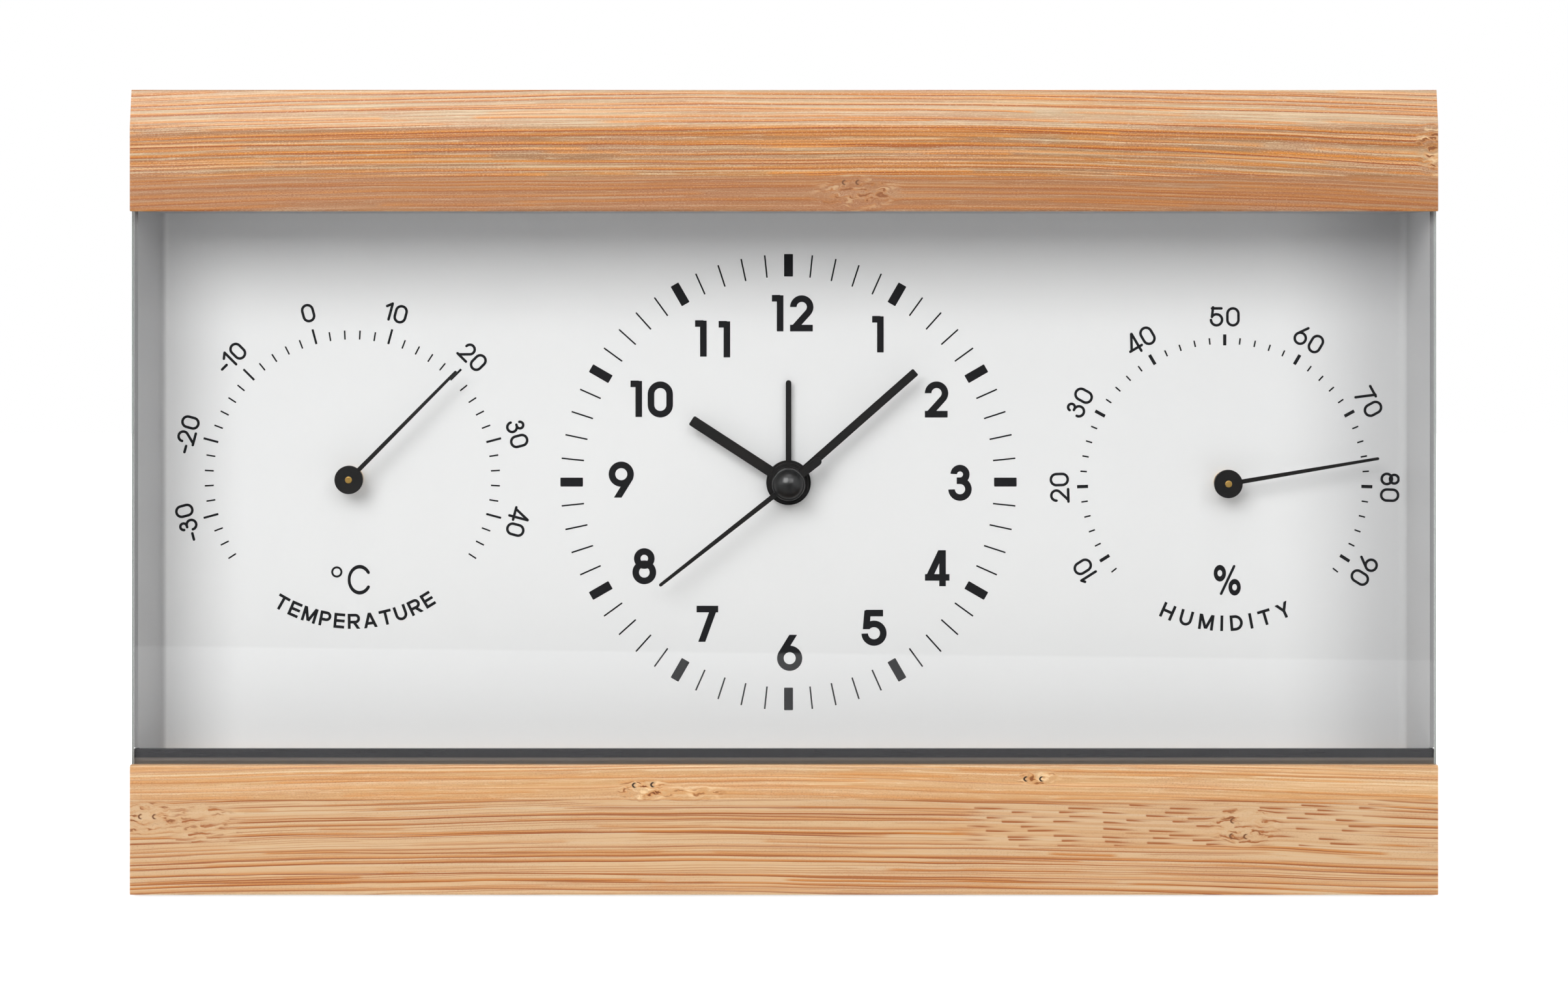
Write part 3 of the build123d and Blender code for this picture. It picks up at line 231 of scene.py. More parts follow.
def strong_strands(f, x, across):
    """Brown cores with a crisp lower edge and an orange glow above them, thinner towards their ends."""
    core = None
    glow = None
    for pitch, salt, slope, rate in ((1.25, 3.1, 0.0, 0.017), (1.75, 5.9, 0.011, 0.022)):
        away, chance, present = f.strands(across + x * slope, pitch, salt, x * rate)
        lasting = present + (chance[1] - 0.5) * 0.34
        here = lasting.fade(0.42, 0.45) * (chance[2] * 0.5 + 0.5)
        half = lasting.fade(0.4, 0.62) * 0.12
        body = (away.size() - half).fade(0.05, -0.04) * here
        halo = away.fade(0.85, 0.02) * away.fade(-0.12, 0.0) * here
        core = body if core is None else core.most(body)
        glow = halo if glow is None else glow.most(halo)
    return core, glow


def dash_field(f, x, z, height, field):
    """Staggered dashes, laid like bricks, some left out, and how far each place lies within the field."""
    low_x, high_x, low_z, high_z, pitch, length = field
    level = (height + (x * 0.19).wave() * 0.15) / pitch
    line = level.whole()
    shift = f.node("ShaderNodeTexWhiteNoise", {"noise_dimensions": "1D"}, {"W": line})
    run = x / length + shift * 3.0
    chance = f.chances("3D", Vector=f.join(run.whole(), line, 0.5))
    run = run.part()
    start = chance[0] * 0.35
    body = run.fade(start, start + 0.05) * run.fade(0.98, 0.35) * chance[2].fade(0.1, 0.25)
    offset = (level.part() - 0.5 + (chance[1] - 0.5) * 0.5) * pitch
    shadow = offset.fade(0.6, 0.1) * offset.fade(-0.1, 0.1) * 0.4
    line_share = (offset.size() - body * 0.1).fade(0.1, -0.02) + shadow
    inside = x.fade(low_x, low_x + 6) * x.fade(high_x, high_x - 9) * z.fade(low_z, low_z + 0.6)
    inside = inside * z.fade(high_z, high_z - 0.6)
    return body * line_share * inside, inside


def eye_rings(x, z, eyes):
    """Small rings, open on their right side."""
    rings = None
    for eye_x, eye_z in eyes:
        dx = x - eye_x
        dz = (z - eye_z) * 1.25
        ring = ((dx * dx + dz * dz).root() - 0.5).size().fade(0.26, 0.08) * (dx * -1).fade(-0.3, 0.25)
        rings = ring if rings is None else rings.most(ring)
    return rings


def bamboo(name, glue, slabs, pale_lines, sheen_crest, knots, eyes, dashes, ceiling=None):
    """Laminated bamboo along X: a thin and a thick slab meet at the glue height.

    Each slab gives its ground colour and its shares of specks, lines and rosy patches, the lower one first.
    Pale lines go with the others by a share. Painted sheen for the light from above makes the wood lighter
    above a given height, by a given share. A knot gives its middle, its reach along X and Z and its strength,
    an eye its place, and a field of dashes its box, pitch and length. The underside at a ceiling is painted
    grey."""
    f = finish(name)
    point = f.place()
    x, y, z = f.split(point)
    upper = z.above(glue)
    rows = (y - bar_front) / 19.0 + upper * 0.35
    seed = upper * 17.3 + rows.whole() * 5.7

    # Knots push the fibres apart and break them up
    knotted, push = knot_field(x, z, knots)
    wavy = f.noise(f.stretch(point, (0.5, 0.3, 0.9)), detail=2.0)
    drift = f.noise(f.join(x * 0.012 + seed, y * 0.02, z * 0.05), detail=1.0)
    sway = f.noise(f.join(x * 0.06 + seed, y * 0.05, z * 0.25), detail=1.0)
    arch = x * x * 0.00015
    height = z + arch + (drift - 0.5) * 2.2 + (sway - 0.5) * 0.35 + push + (wavy - 0.5) * knotted * 1.5
    across = height + y * 0.83 + seed * 13.0

    # Strong strands, thin ones between them, and pale ones
    core, glow = strong_strands(f, x, across)
    away, chance, present = f.strands(across - x * 0.006, 0.43, 7.7, x * 0.03)
    here = (present + (chance[1] - 0.5) * 0.4).fade(0.46, 0.52) * (chance[2] * 0.7 + 0.3)
    thin = away.size().fade(0.12, 0.02) * here
    away, chance, present = f.strands(across + x * 0.005, 0.71, 12.9, x * 0.024)
    here = (present + (chance[1] - 0.5) * 0.4).fade(0.47, 0.5) * (chance[2] * 0.6 + 0.4)
    pale = (away.size() - chance[0] * 0.08).fade(0.14, 0.03) * here

    # Soft bands, and specks of cut pores in the ground tissue
    bands = f.noise(f.join(x * 0.01 + seed, across * 0.55, 0.0), detail=3.0, roughness=0.6)
    streaks = f.noise(f.join(x * 0.16 + seed, across * 3.4, 0.0), detail=4.0, roughness=0.75)
    specks = f.noise(f.join(x * 2.4 + seed, y * 6.0, height * 7.0), detail=2.0, roughness=0.7)
    patches = f.noise(f.join(x * 0.05, y * 0.2, height * 0.35 + seed), detail=2.0)
    speck_share = specks.fade(0.52, 0.66) * patches.fade(0.25, 0.65)
    light_specks = specks.fade(0.45, 0.33)

    # Fields of dashes, where the other strands nearly stop
    dash = None
    for field in dashes:
        mark, inside = dash_field(f, x, z, height, field)
        dash = mark if dash is None else dash.most(mark)
        kept = 1 - inside * 0.75
        core = core * kept
        glow = glow * kept
        thin = thin * kept

    # The ground of the two slabs, then the strands over it
    lower_slab, upper_slab = slabs
    ground = f.blend(lower_slab[0], upper_slab[0], upper)
    speck_amount = upper * (upper_slab[1] - lower_slab[1]) + lower_slab[1]
    line_amount = (upper * (upper_slab[2] - lower_slab[2]) + lower_slab[2]) * (1 - knotted * 0.85)
    # Painted sheen: above the given height the wood is painted lighter and less orange, for the light from
    # above.
    painted_sheen = z.fade(sheen_crest[0] - 0.9, sheen_crest[0] + 0.9) * sheen_crest[1]
    ground = f.blend(ground, tone(198, 170, 136), painted_sheen)
    rosy = upper * (upper_slab[3] - lower_slab[3]) + lower_slab[3]
    ground = f.blend(ground, tone(254, 224, 180), bands.fade(0.45, 0.7) * 0.35)
    ground = f.blend(ground, tone(236, 176, 106), bands.fade(0.5, 0.3) * 0.4 * line_amount)
    ground = f.blend(ground, tone(196, 142, 112), patches.fade(0.4, 0.7) * rosy)
    colour = f.blend(ground, tone(222, 158, 94), streaks.fade(0.52, 0.76) * 0.6)
    colour = f.blend(colour, tone(255, 234, 194), streaks.fade(0.48, 0.28) * 0.5)
    colour = f.blend(colour, tone(228, 144, 42), glow * line_amount)
    colour = f.blend(colour, tone(255, 238, 200), pale * (line_amount * pale_lines + 0.15))
    colour = f.blend(colour, tone(184, 106, 38), thin * line_amount * 0.75)
    colour = f.blend(colour, tone(150, 66, 10), core * line_amount)
    colour = f.blend(colour, tone(238, 206, 170), light_specks * speck_amount * 0.45)
    colour = f.blend(colour, tone(146, 94, 62), speck_share * speck_amount * (1 - painted_sheen))
    colour = f.blend(colour, tone(168, 90, 34), dash)

    # Knots: pale leaf-shaped patches, short dark dashes and small ringed eyes
    leaf = f.cells(f.join(x * 0.26 + wavy * 1.2, y * 0.3, height * 1.2 + wavy))
    colour = f.blend(colour, tone(250, 218, 170), leaf.fade(0.5, 0.15) * knotted * 0.8)
    fleck_point = f.join(x * 0.3 + wavy * 1.4, y * 0.6, height * 1.7 + x * 0.12 + wavy)
    fleck = f.cells(fleck_point)
    colour = f.blend(colour, tone(216, 142, 66), fleck.fade(0.55, 0.25) * knotted * 0.6)
    colour = f.blend(colour, tone(128, 70, 32), fleck.fade(0.34, 0.17) * knotted)
    rings = eye_rings(x, z, eyes) * y.fade(bar_front + 3, bar_front + 2)
    colour = f.blend(colour, tone(38, 22, 14), rings)

    # Ends: cut bundles show as dark dots
    dots = f.cells(f.join(0.0, y * 1.5, z * 1.9))
    end_grain = f.blend(tone(206, 160, 118), tone(132, 84, 50), dots.fade(0.42, 0.2))
    end_grain = f.blend(end_grain, tone(226, 186, 142), specks.fade(0.5, 0.3) * 0.5)
    at_end = x.size().above(half_width - 0.02)
    colour = f.blend(colour, end_grain, at_end)
    if ceiling is not None:
        inside = z.fade(ceiling + 0.02, ceiling + 0.01) * y.fade(bar_front + 4.0, bar_front + 4.05)
        colour = f.blend(colour, f.blend(tone(152, 152, 155), tone(164, 164, 167), specks), inside)

    # Glue lines between the slabs and between the strips
    seam = (z - glue).size().fade(0.14, 0.03)
    side_seam = ((rows + 0.5).part() - 0.5).size().fade(0.008, 0.002)
    seams = seam.most(side_seam)
    colour = f.blend(colour, tone(160, 104, 64), seams * 0.5)
    relief = streaks * 0.5 + bands * 0.2 - speck_share * 0.6 - core * 0.4 - seams - rings
    return f.coat(
        Specular_IOR_Level=0.28,
        Base_Color=colour,
        Roughness=streaks * 0.14 + 0.36,
        Normal=f.bump(relief, 0.035, 0.6),
        Coat_Weight=0.25,
        Coat_Roughness=0.32,
    )


def dial_paint():
    """Matt white lacquer with the faintest orange peel; painted shade greys it towards the right end and on
    the returns.
    """
    f = finish("dial_white_lacquer")
    point = f.place()
    cloud = f.noise(point, 0.03, detail=3.0)
    grain = f.noise(point, 2.2, detail=2.0)
    colour = f.blend(tone(247, 247, 247), tone(241, 241, 242), cloud * 0.6 + grain * 0.3)
    x, y, z = f.split(point)
    # Painted shade: the white greys over the last 28 mm towards the right end.
    colour = f.blend(colour, tone(213, 213, 214), x.fade(half_width - 28.0, half_width - 5.0))
    # Painted shade on the returns: the left one darker than the right, as the light comes more from the left.
    painted_return_shade = f.blend(tone(201, 201, 202), tone(218, 218, 219), x.above(0))
    colour = f.blend(colour, painted_return_shade, x.size().fade(half_width - 2.0, half_width - 0.9))
    colour = f.blend(colour, tone(152, 151, 152), y.fade(sheet_front + 0.06, sheet_front + 0.04))
    return f.coat(Base_Color=colour, Roughness=cloud * 0.1 + 0.5, Normal=f.bump(grain, 0.004, 0.5))


def glass():
    """A clear pane with ground ends: reflection grows towards grazing, faint wipe marks soften it."""
    f = finish("clear_glass")
    point = f.place()
    wipes = f.noise(f.stretch(point, (0.02, 0.02, 0.06)), detail=3.0)
    clear = f.node("ShaderNodeBsdfTransparent", {}, {"Color": (0.996, 0.999, 0.998, 1.0)})
    shine = f.node("ShaderNodeBsdfGlossy", {}, {"Color": (1.0, 1.0, 1.0, 1.0), "Roughness": wipes * 0.02})
    facing = f.node("ShaderNodeLayerWeight", {}, {"Blend": 0.5}, out="Facing")
    squared = facing * facing
    share = squared * squared * facing * 0.96 + 0.04
    pane = f.node("ShaderNodeMixShader", {}, {0: share, 1: clear, 2: shine})
    x = f.split(point)[0]
    frost = f.noise(point, 4.0, detail=2.0)
    edge_colour = f.blend(tone(176, 184, 181), tone(206, 212, 209), frost)
    ground = f.node("ShaderNodeBsdfDiffuse", {}, {"Color": edge_colour})
    edge = x.size().above(half_width - 0.05)
    return f.show(f.node("ShaderNodeMixShader", {}, {0: edge, 1: pane, 2: ground}))


def moulded(name, dark, light, grain, roughness, depth=0.012, coat=0.0):
    """Moulded plastic with a fine spark-eroded grain and slow cloudy changes."""
    f = finish(name)
    point = f.place()
    cloud = f.noise(point, 0.06, detail=2.0)
    fine = f.noise(point, 1 / grain, detail=2.0, roughness=0.6)
    colour = f.blend(dark, light, cloud * 0.5 + fine * 0.5)
    return f.coat(
        Base_Color=colour,
        Roughness=fine * 0.12 + (roughness - 0.06) + (cloud - 0.5) * 0.08,
        Normal=f.bump(fine, depth, 0.7),
        Coat_Weight=coat,
        Coat_Roughness=0.1,
    )


def metal(name, dark, light, roughness, brush, grain=0.3):
    """Metal drawn or brushed along one direction, with duller patches."""
    f = finish(name)
    point = f.place()
    lines = f.noise(f.stretch(point, brush), detail=3.0, roughness=0.7)
    patches = f.noise(point, 0.2, detail=2.0)
    pits = f.noise(point, 1 / grain, detail=1.0)
    colour = f.blend(dark, light, lines * 0.6 + patches * 0.4)
    return f.coat(
        Base_Color=colour,
        Metallic=1.0,
        Roughness=lines * 0.14 + patches * 0.08 + (roughness - 0.1),
        Normal=f.bump(lines + pits * 0.4, 0.006, 0.6),
    )


def hand_lacquer():
    """Satin black lacquer on stamped hands, faintly brown where it is thin."""
    f = finish("hand_black_lacquer")
    point = f.place()
    fine = f.noise(point, 2.6, detail=2.0)
    cloud = f.noise(point, 0.18, detail=2.0)
    colour = f.blend(tone(9, 8, 8), tone(20, 15, 13), cloud.fade(0.35, 0.75))
    relief = f.bump(fine, 0.003, 0.5)
    return f.coat(Base_Color=colour, Roughness=fine * 0.1 + 0.4, Specular_IOR_Level=0.3, Normal=relief)


def print_ink():
    """Screen-printed ink: near black, with pale pinholes and slightly thin places."""
    f = finish("dial_ink")
    point = f.place()
    thin = f.noise(point, 0.9, detail=3.0, roughness=0.6)
    holes = f.cells(point, 0.7).fade(0.1, 0.05) * f.noise(point, 0.23).fade(0.52, 0.6)
    colour = f.blend(tone(17, 17, 20), tone(26, 26, 29), thin)
    colour = f.blend(colour, tone(90, 90, 92), holes * 0.5)
    return f.coat(Base_Color=colour, Roughness=thin * 0.15 + 0.7, Specular_IOR_Level=0.25)


def wound_wire():
    """Enamelled copper wire wound side by side across X."""
    f = finish("enamelled_copper_wire")
    point = f.place()
    x, y, z = f.split(point)
    wobble = f.noise(point, 0.4, detail=2.0)
    turn = (x * 5.5 + wobble * 0.8).part()
    ridge = (turn - 0.5).size() * 2
    # Painted shade: each turn is painted darker towards its sides, where it dips beside the next.
    colour = f.blend(tone(206, 112, 62), tone(112, 48, 24), ridge.fade(0.35, 1.0))
    colour = f.blend(colour, tone(224, 140, 84), wobble.fade(0.5, 0.8) * 0.4)
    relief = f.bump(1 - ridge, 0.05)
    return f.coat(Base_Color=colour, Metallic=0.8, Roughness=ridge * 0.2 + 0.28, Normal=relief)


def circuit_lacquer():
    """Green solder lacquer over copper tracks, with plated pads."""
    f = finish("green_board_lacquer")
    point = f.place()
    x, y, z = f.split(point)
    bend = f.noise(point, 0.16, detail=0.0).fade(0.45, 0.55)
    tracks = ((x * 0.7 + bend * 1.4).part() - 0.5).size().fade(0.2, 0.14)
    pads = f.cells(f.stretch(point, (0.55, 0.02, 0.55))).fade(0.16, 0.13)
    fine = f.noise(point, 3.0, detail=2.0)
    colour = f.blend(tone(20, 84, 52), tone(38, 122, 72), tracks * 0.8 + fine * 0.2)
    colour = f.blend(colour, tone(206, 204, 196), pads)
    relief = f.bump(tracks, 0.02)
    return f.coat(Base_Color=colour, Metallic=pads * 0.9, Roughness=fine * 0.15 + 0.28, Normal=relief)


def cell_film():
    """Plain printed film on the cell: dark body, pale band, bare plated ends."""
    f = finish("cell_film")
    point = f.place()
    x, y, z = f.split(point)
    low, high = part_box("battery_cell")
    along = (x - low.x / MM) / ((high.x - low.x) / MM)
    fine = f.noise(f.stretch(point, (0.4, 2.0, 2.0)), detail=2.0)
    body = f.blend(tone(44, 46, 52), tone(60, 62, 70), fine)
    band = along.fade(0.7, 0.702) * along.fade(0.96, 0.958)
    colour = f.blend(body, tone(176, 150, 84), band)
    ends = (along - 0.5).size().fade(0.478, 0.482)
    colour = f.blend(colour, tone(196, 197, 198), ends)
    shine = ends * 0.9 + band * 0.5
    return f.coat(Base_Color=colour, Metallic=shine, Roughness=fine * 0.1 + 0.3, Coat_Weight=0.2)


def sill_gloss():
    """Glossy black strip: the floor of the showcase, with fine wipe marks and a painted reflection along its
    foot.
    """
    f = finish("sill_gloss_black")
    point = f.place()
    wipes = f.noise(f.stretch(point, (0.05, 0.8, 0.8)), detail=3.0)
    dust = f.cells(point, 0.55).fade(0.05, 0.02)
    colour = f.blend(tone(26, 25, 29), tone(34, 33, 37), wipes)
    # Painted reflection: the lowest part of the strip is a warm grey-brown, for the bar and the light seen in
    # the gloss.
    colour = f.blend(colour, tone(104, 97, 90), f.split(point)[2].fade(lip_top + 1.0, lip_top + 0.75))
    colour = f.blend(colour, tone(110, 108, 104), dust * 0.5)
    return f.coat(Base_Color=colour, Roughness=wipes * 0.08 + 0.08 + dust * 0.3)


# Bars: middle x, middle z, reach along, reach across and strength of each knot
top_bar_knots = (
    (14.0, 134.6, 10.0, 4.0, 1.0),
    (124.5, 143.0, 4.5, 6.5, 0.9),
)
bottom_bar_knots = (
    (-26.6, 20.6, 6.0, 2.6, 1.0),
    (-18.0, 20.0, 8.0, 2.0, 0.6),
    (48.6, 22.9, 5.0, 1.7, 0.9),
    (-122.0, 15.2, 8.0, 4.0, 1.0),
    (-112.0, 14.4, 9.0, 4.4, 0.6),
    (88.0, 13.6, 8.0, 4.4, 1.0),
)
top_bar_eyes = ((11.7, 136.7), (14.3, 136.7))
bottom_bar_eyes = (
    (-28.4, 21.5), (-24.9, 21.6), (46.4, 22.7), (49.4, 22.7),
    (-122.8, 15.5), (-120.1, 15.5), (85.9, 14.7), (85.7, 11.8), (88.4, 11.7),
)
# The upper bar's ground tones are set darker and the lower bar's lighter than the wood alone: partly their
# own tone, partly painted shade on the upper bar and painted light on the lower, for the light that comes up
# from the pale floor.
top_wood = bamboo(
    "bamboo_upper_bar",
    top_glue,
    ((tone(163, 114, 74), 0.95, 0.85, 0.4), (tone(154, 109, 69), 0.8, 0.95, 0.3)),
    0.2,
    (bevel_foot, 0.82),
    top_bar_knots,
    top_bar_eyes,
    ((2.0, 9.5, 131.6, 137.4, 0.6, 3.0),),
    top_glue - thin_strip,
)
bottom_wood = bamboo(
    "bamboo_lower_bar",
    bottom_glue,
    ((tone(255, 229, 182), 0.3, 1.0, 0.1), (tone(209, 163, 113), 0.35, 0.45, 0.15)),
    0.6,
    (lip_top - 1.2, 0.25),
    bottom_bar_knots,
    bottom_bar_eyes,
    ((33.0, 119.0, 9.6, 18.2, 0.85, 9.0), (-119.0, -101.0, 10.2, 18.0, 0.85, 7.0)),
)

black_housing = moulded("housing_black_plastic", tone(24, 24, 26), tone(38, 38, 41), 0.28, 0.56, 0.02)
case_black = moulded("case_black_plastic", tone(30, 30, 33), tone(44, 44, 48), 0.35, 0.5)
knob_black = moulded("knob_black_plastic", tone(34, 34, 37), tone(50, 50, 54), 0.3, 0.46)
cap_gloss = moulded("cap_black_gloss", tone(10, 10, 11), tone(17, 17, 18), 0.5, 0.3, 0.002, 0.4)
wheel_white = moulded("wheel_natural_plastic", tone(222, 220, 210), tone(240, 238, 230), 0.4, 0.42)
rubber = moulded("foot_rubber", tone(26, 26, 26), tone(44, 43, 42), 0.22, 0.8, 0.03)
chip_epoxy = moulded("chip_epoxy", tone(20, 20, 22), tone(34, 34, 36), 0.2, 0.6)
magnet = metal("sintered_magnet", tone(70, 70, 74), tone(116, 116, 120), 0.45, (2.0, 2.0, 2.0))
steel = metal("zinc_plated_steel", tone(150, 152, 156), tone(204, 206, 208), 0.34, (0.5, 3.0, 3.0))
spring_metal = metal("nickel_plated_spring", tone(176, 176, 172), tone(220, 220, 214), 0.28, (0.4, 3.0, 3.0))
brass = metal("turned_brass", tone(190, 142, 66), tone(236, 198, 118), 0.3, (3.0, 0.6, 3.0))
strip_metal = metal("rolled_strip", tone(160, 132, 88), tone(206, 178, 130), 0.36, (2.0, 0.3, 2.0))

finishes = {
    "top_bar": top_wood,
    "bottom_bar": bottom_wood,
    "dial_plate": dial_paint(),
    "front_glass": glass(),
    "sill_strip": sill_gloss(),
    "rubber_feet": rubber,
    "coil_winding": wound_wire(),
    "circuit_board": circuit_lacquer(),
    "battery_cell": cell_film(),
    "hand_cap": cap_gloss,
    "rotor": magnet,
}
shared_finishes = (
    (hand_lacquer(), "alarm_hand hour_hand minute_hand second_hand thermometer_pointer hygrometer_pointer"),
    (wheel_white, "alarm_wheel hour_wheel minute_arbor centre_wheel motion_wheel"),
    (wheel_white, "seconds_wheel third_wheel step_wheel alarm_setting_shaft train_bridge coil_bobbin"),
    (steel, "bar_screws movement_screws cover_screws bridge_screws stator_screws"),
    (steel, "stator_plate coil_core quartz_crystal thermometer_bracket hygrometer_bracket"),
    (spring_metal, "positive_contact negative_contact"),
    (brass, "thermometer_bush hygrometer_bush thermometer_spindle hygrometer_spindle"),
    (strip_metal, "thermometer_coil hygrometer_coil"),
    (black_housing, "rear_housing battery_door"),
    (case_black, "movement_base movement_cover"),
    (chip_epoxy, "driver_chip buzzer"),
    (knob_black, "alarm_switch time_knob alarm_knob"),
)
for material, names in shared_finishes:
    for node in names.split():
        finishes[node] = material
for name, piece in nodes.items():
    piece.data.materials.clear()
    piece.data.materials.append(finishes[name])


class Pen:
    """Draws flat strokes in the X and Z plane, in millimetres.

    An edge as long as the stroke is wide is extruded along runs and spun round bends."""

    def __init__(self, stroke, rounded=False):
        self.mesh = bmesh.new()
        self.stroke = stroke
        self.rounded = rounded
        self.spot = Matrix.Identity(4)
        self.strokes = 0

    def at(self, x, z, turn=0.0):
        """Moves the origin of what follows, turned anticlockwise by degrees."""
        self.spot = Matrix.Translation((x, 0, z)) @ Matrix.Rotation(-radians(turn), 4, "Y")

    def lay(self, before, local=None):
        """Puts the points that weren't there before at the pen's place, a hair before the last stroke."""
        fresh = [point for point in self.mesh.verts if point not in before]
        self.strokes += 1
        hair = Matrix.Translation((0, self.strokes % 12 * -0.0015, 0))
        place = hair @ self.spot @ (local or Matrix.Identity(4))
        bmesh.ops.transform(self.mesh, matrix=place, verts=fresh)

    def edge(self, first, second):
        ends = [self.mesh.verts.new((x, 0, z)) for x, z in (first, second)]
        return ends, self.mesh.edges.new(ends)

    def sweep(self, first, second, along):
        """Extrudes the edge between two points along a vector."""
        before = set(self.mesh.verts)
        ends, edge = self.edge(first, second)
        drawn = bmesh.ops.extrude_edge_only(self.mesh, edges=[edge])["geom"]
        tips = [part for part in drawn if isinstance(part, bmesh.types.BMVert)]
        bmesh.ops.translate(self.mesh, verts=tips, vec=(along[0], 0, along[1]))
        self.lay(before)

    def run(self, start, end):
        """A straight stroke with square or round ends."""
        dx, dz = end[0] - start[0], end[1] - start[1]
        length = hypot(dx, dz)
        side = (-dz / length * self.stroke / 2, dx / length * self.stroke / 2)
        first = (start[0] - side[0], start[1] - side[1])
        second = (start[0] + side[0], start[1] + side[1])
        self.sweep(first, second, (dx, dz))
        if self.rounded:
            self.dot(*start, self.stroke / 2)
            self.dot(*end, self.stroke / 2)

    def slant(self, start, end):
        """A sloping stroke whose ends are cut level."""
        dx, dz = end[0] - start[0], end[1] - start[1]
        half = self.stroke / 2 * hypot(dx, dz) / abs(dz)
        if self.rounded:
            self.run(start, end)
            return
        self.sweep((start[0] - half, start[1]), (start[0] + half, start[1]), (dx, dz))

    def bend(self, centre, radius, start, turn, tall=1.0):
        """A round stroke from an angle through a turn in degrees, made taller by a share."""
        before = set(self.mesh.verts)
        inner, outer = radius - self.stroke / 2, radius + self.stroke / 2
        ray = (cos(radians(start)), sin(radians(start)))
        ends, edge = self.edge((inner * ray[0], inner * ray[1]), (outer * ray[0], outer * ray[1]))
        steps = max(8, round(abs(turn) / 9))
        bmesh.ops.spin(
            self.mesh,
            geom=[*ends, edge],
            cent=(0, 0, 0),
            axis=(0, -1, 0),
            angle=radians(turn),
            steps=steps,
            use_merge=abs(turn) == 360,
        )
        self.lay(before, Matrix.Translation((centre[0], 0, centre[1])) @ Matrix.Scale(tall, 4, (0, 0, 1)))
        if self.rounded and abs(turn) != 360:
            for angle in (start, start + turn):
                x = centre[0] + radius * cos(radians(angle))
                z = centre[1] + radius * sin(radians(angle)) * tall
                self.dot(x, z, self.stroke / 2)

    def dot(self, x, z, radius):
        before = set(self.mesh.verts)
        turn = Matrix.Rotation(radians(90), 4, "X")
        bmesh.ops.create_circle(self.mesh, cap_ends=True, segments=14, radius=radius, matrix=turn)
        self.lay(before, Matrix.Translation((x, 0, z)))

    def finish(self, name, body, material, depth, rear=False):
        """Makes the strokes a piece that faces the front at a depth, or one drawn and seen from the rear."""
        mesh = self.mesh
        bmesh.ops.translate(mesh, verts=mesh.verts, vec=(0, -depth if rear else depth, 0))
        bmesh.ops.scale(mesh, verts=mesh.verts, vec=(MM, MM, MM))
        mesh.normal_update()
        bmesh.ops.reverse_faces(mesh, faces=[face for face in mesh.faces if face.normal.y > 0])
        if rear:
            bmesh.ops.rotate(mesh, verts=mesh.verts, cent=(0, 0, 0), matrix=Matrix.Rotation(pi, 3, "Z"))
        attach(object_from(mesh, name, material), body)


def object_from(mesh, name, material):
    """A finished mesh as an object in the scene."""
    data = bpy.data.meshes.new(name)
    mesh.to_mesh(data)
    mesh.free()
    data.materials.append(material)
    made = bpy.data.objects.new(name, data)
    bpy.context.scene.collection.objects.link(made)
    return made


# Widths of the figures and letters as shares of their height
figure_widths = {
    "0": 0.7, "1": 0.32, "2": 0.65, "3": 0.65, "4": 0.68, "5": 0.7,
    "6": 0.7, "7": 0.6, "8": 0.66, "9": 0.7, "-": 0.34,
}
letter_widths = {
    "A": 0.92, "D": 0.82, "E": 0.72, "F": 0.68, "H": 0.82, "I": 0.19, "M": 0.96,
    "N": 0.84, "O": 0.86, "P": 0.76, "R": 0.82, "T": 0.82, "U": 0.82, "Y": 0.86,
}


def touch(centre, radius, point, side):
    """The angle where a line from a point touches a circle, on one side or the other."""
    away = (point[0] - centre[0], point[1] - centre[1])
    return degrees(atan2(away[1], away[0]) + side * acos(radius / hypot(*away)))


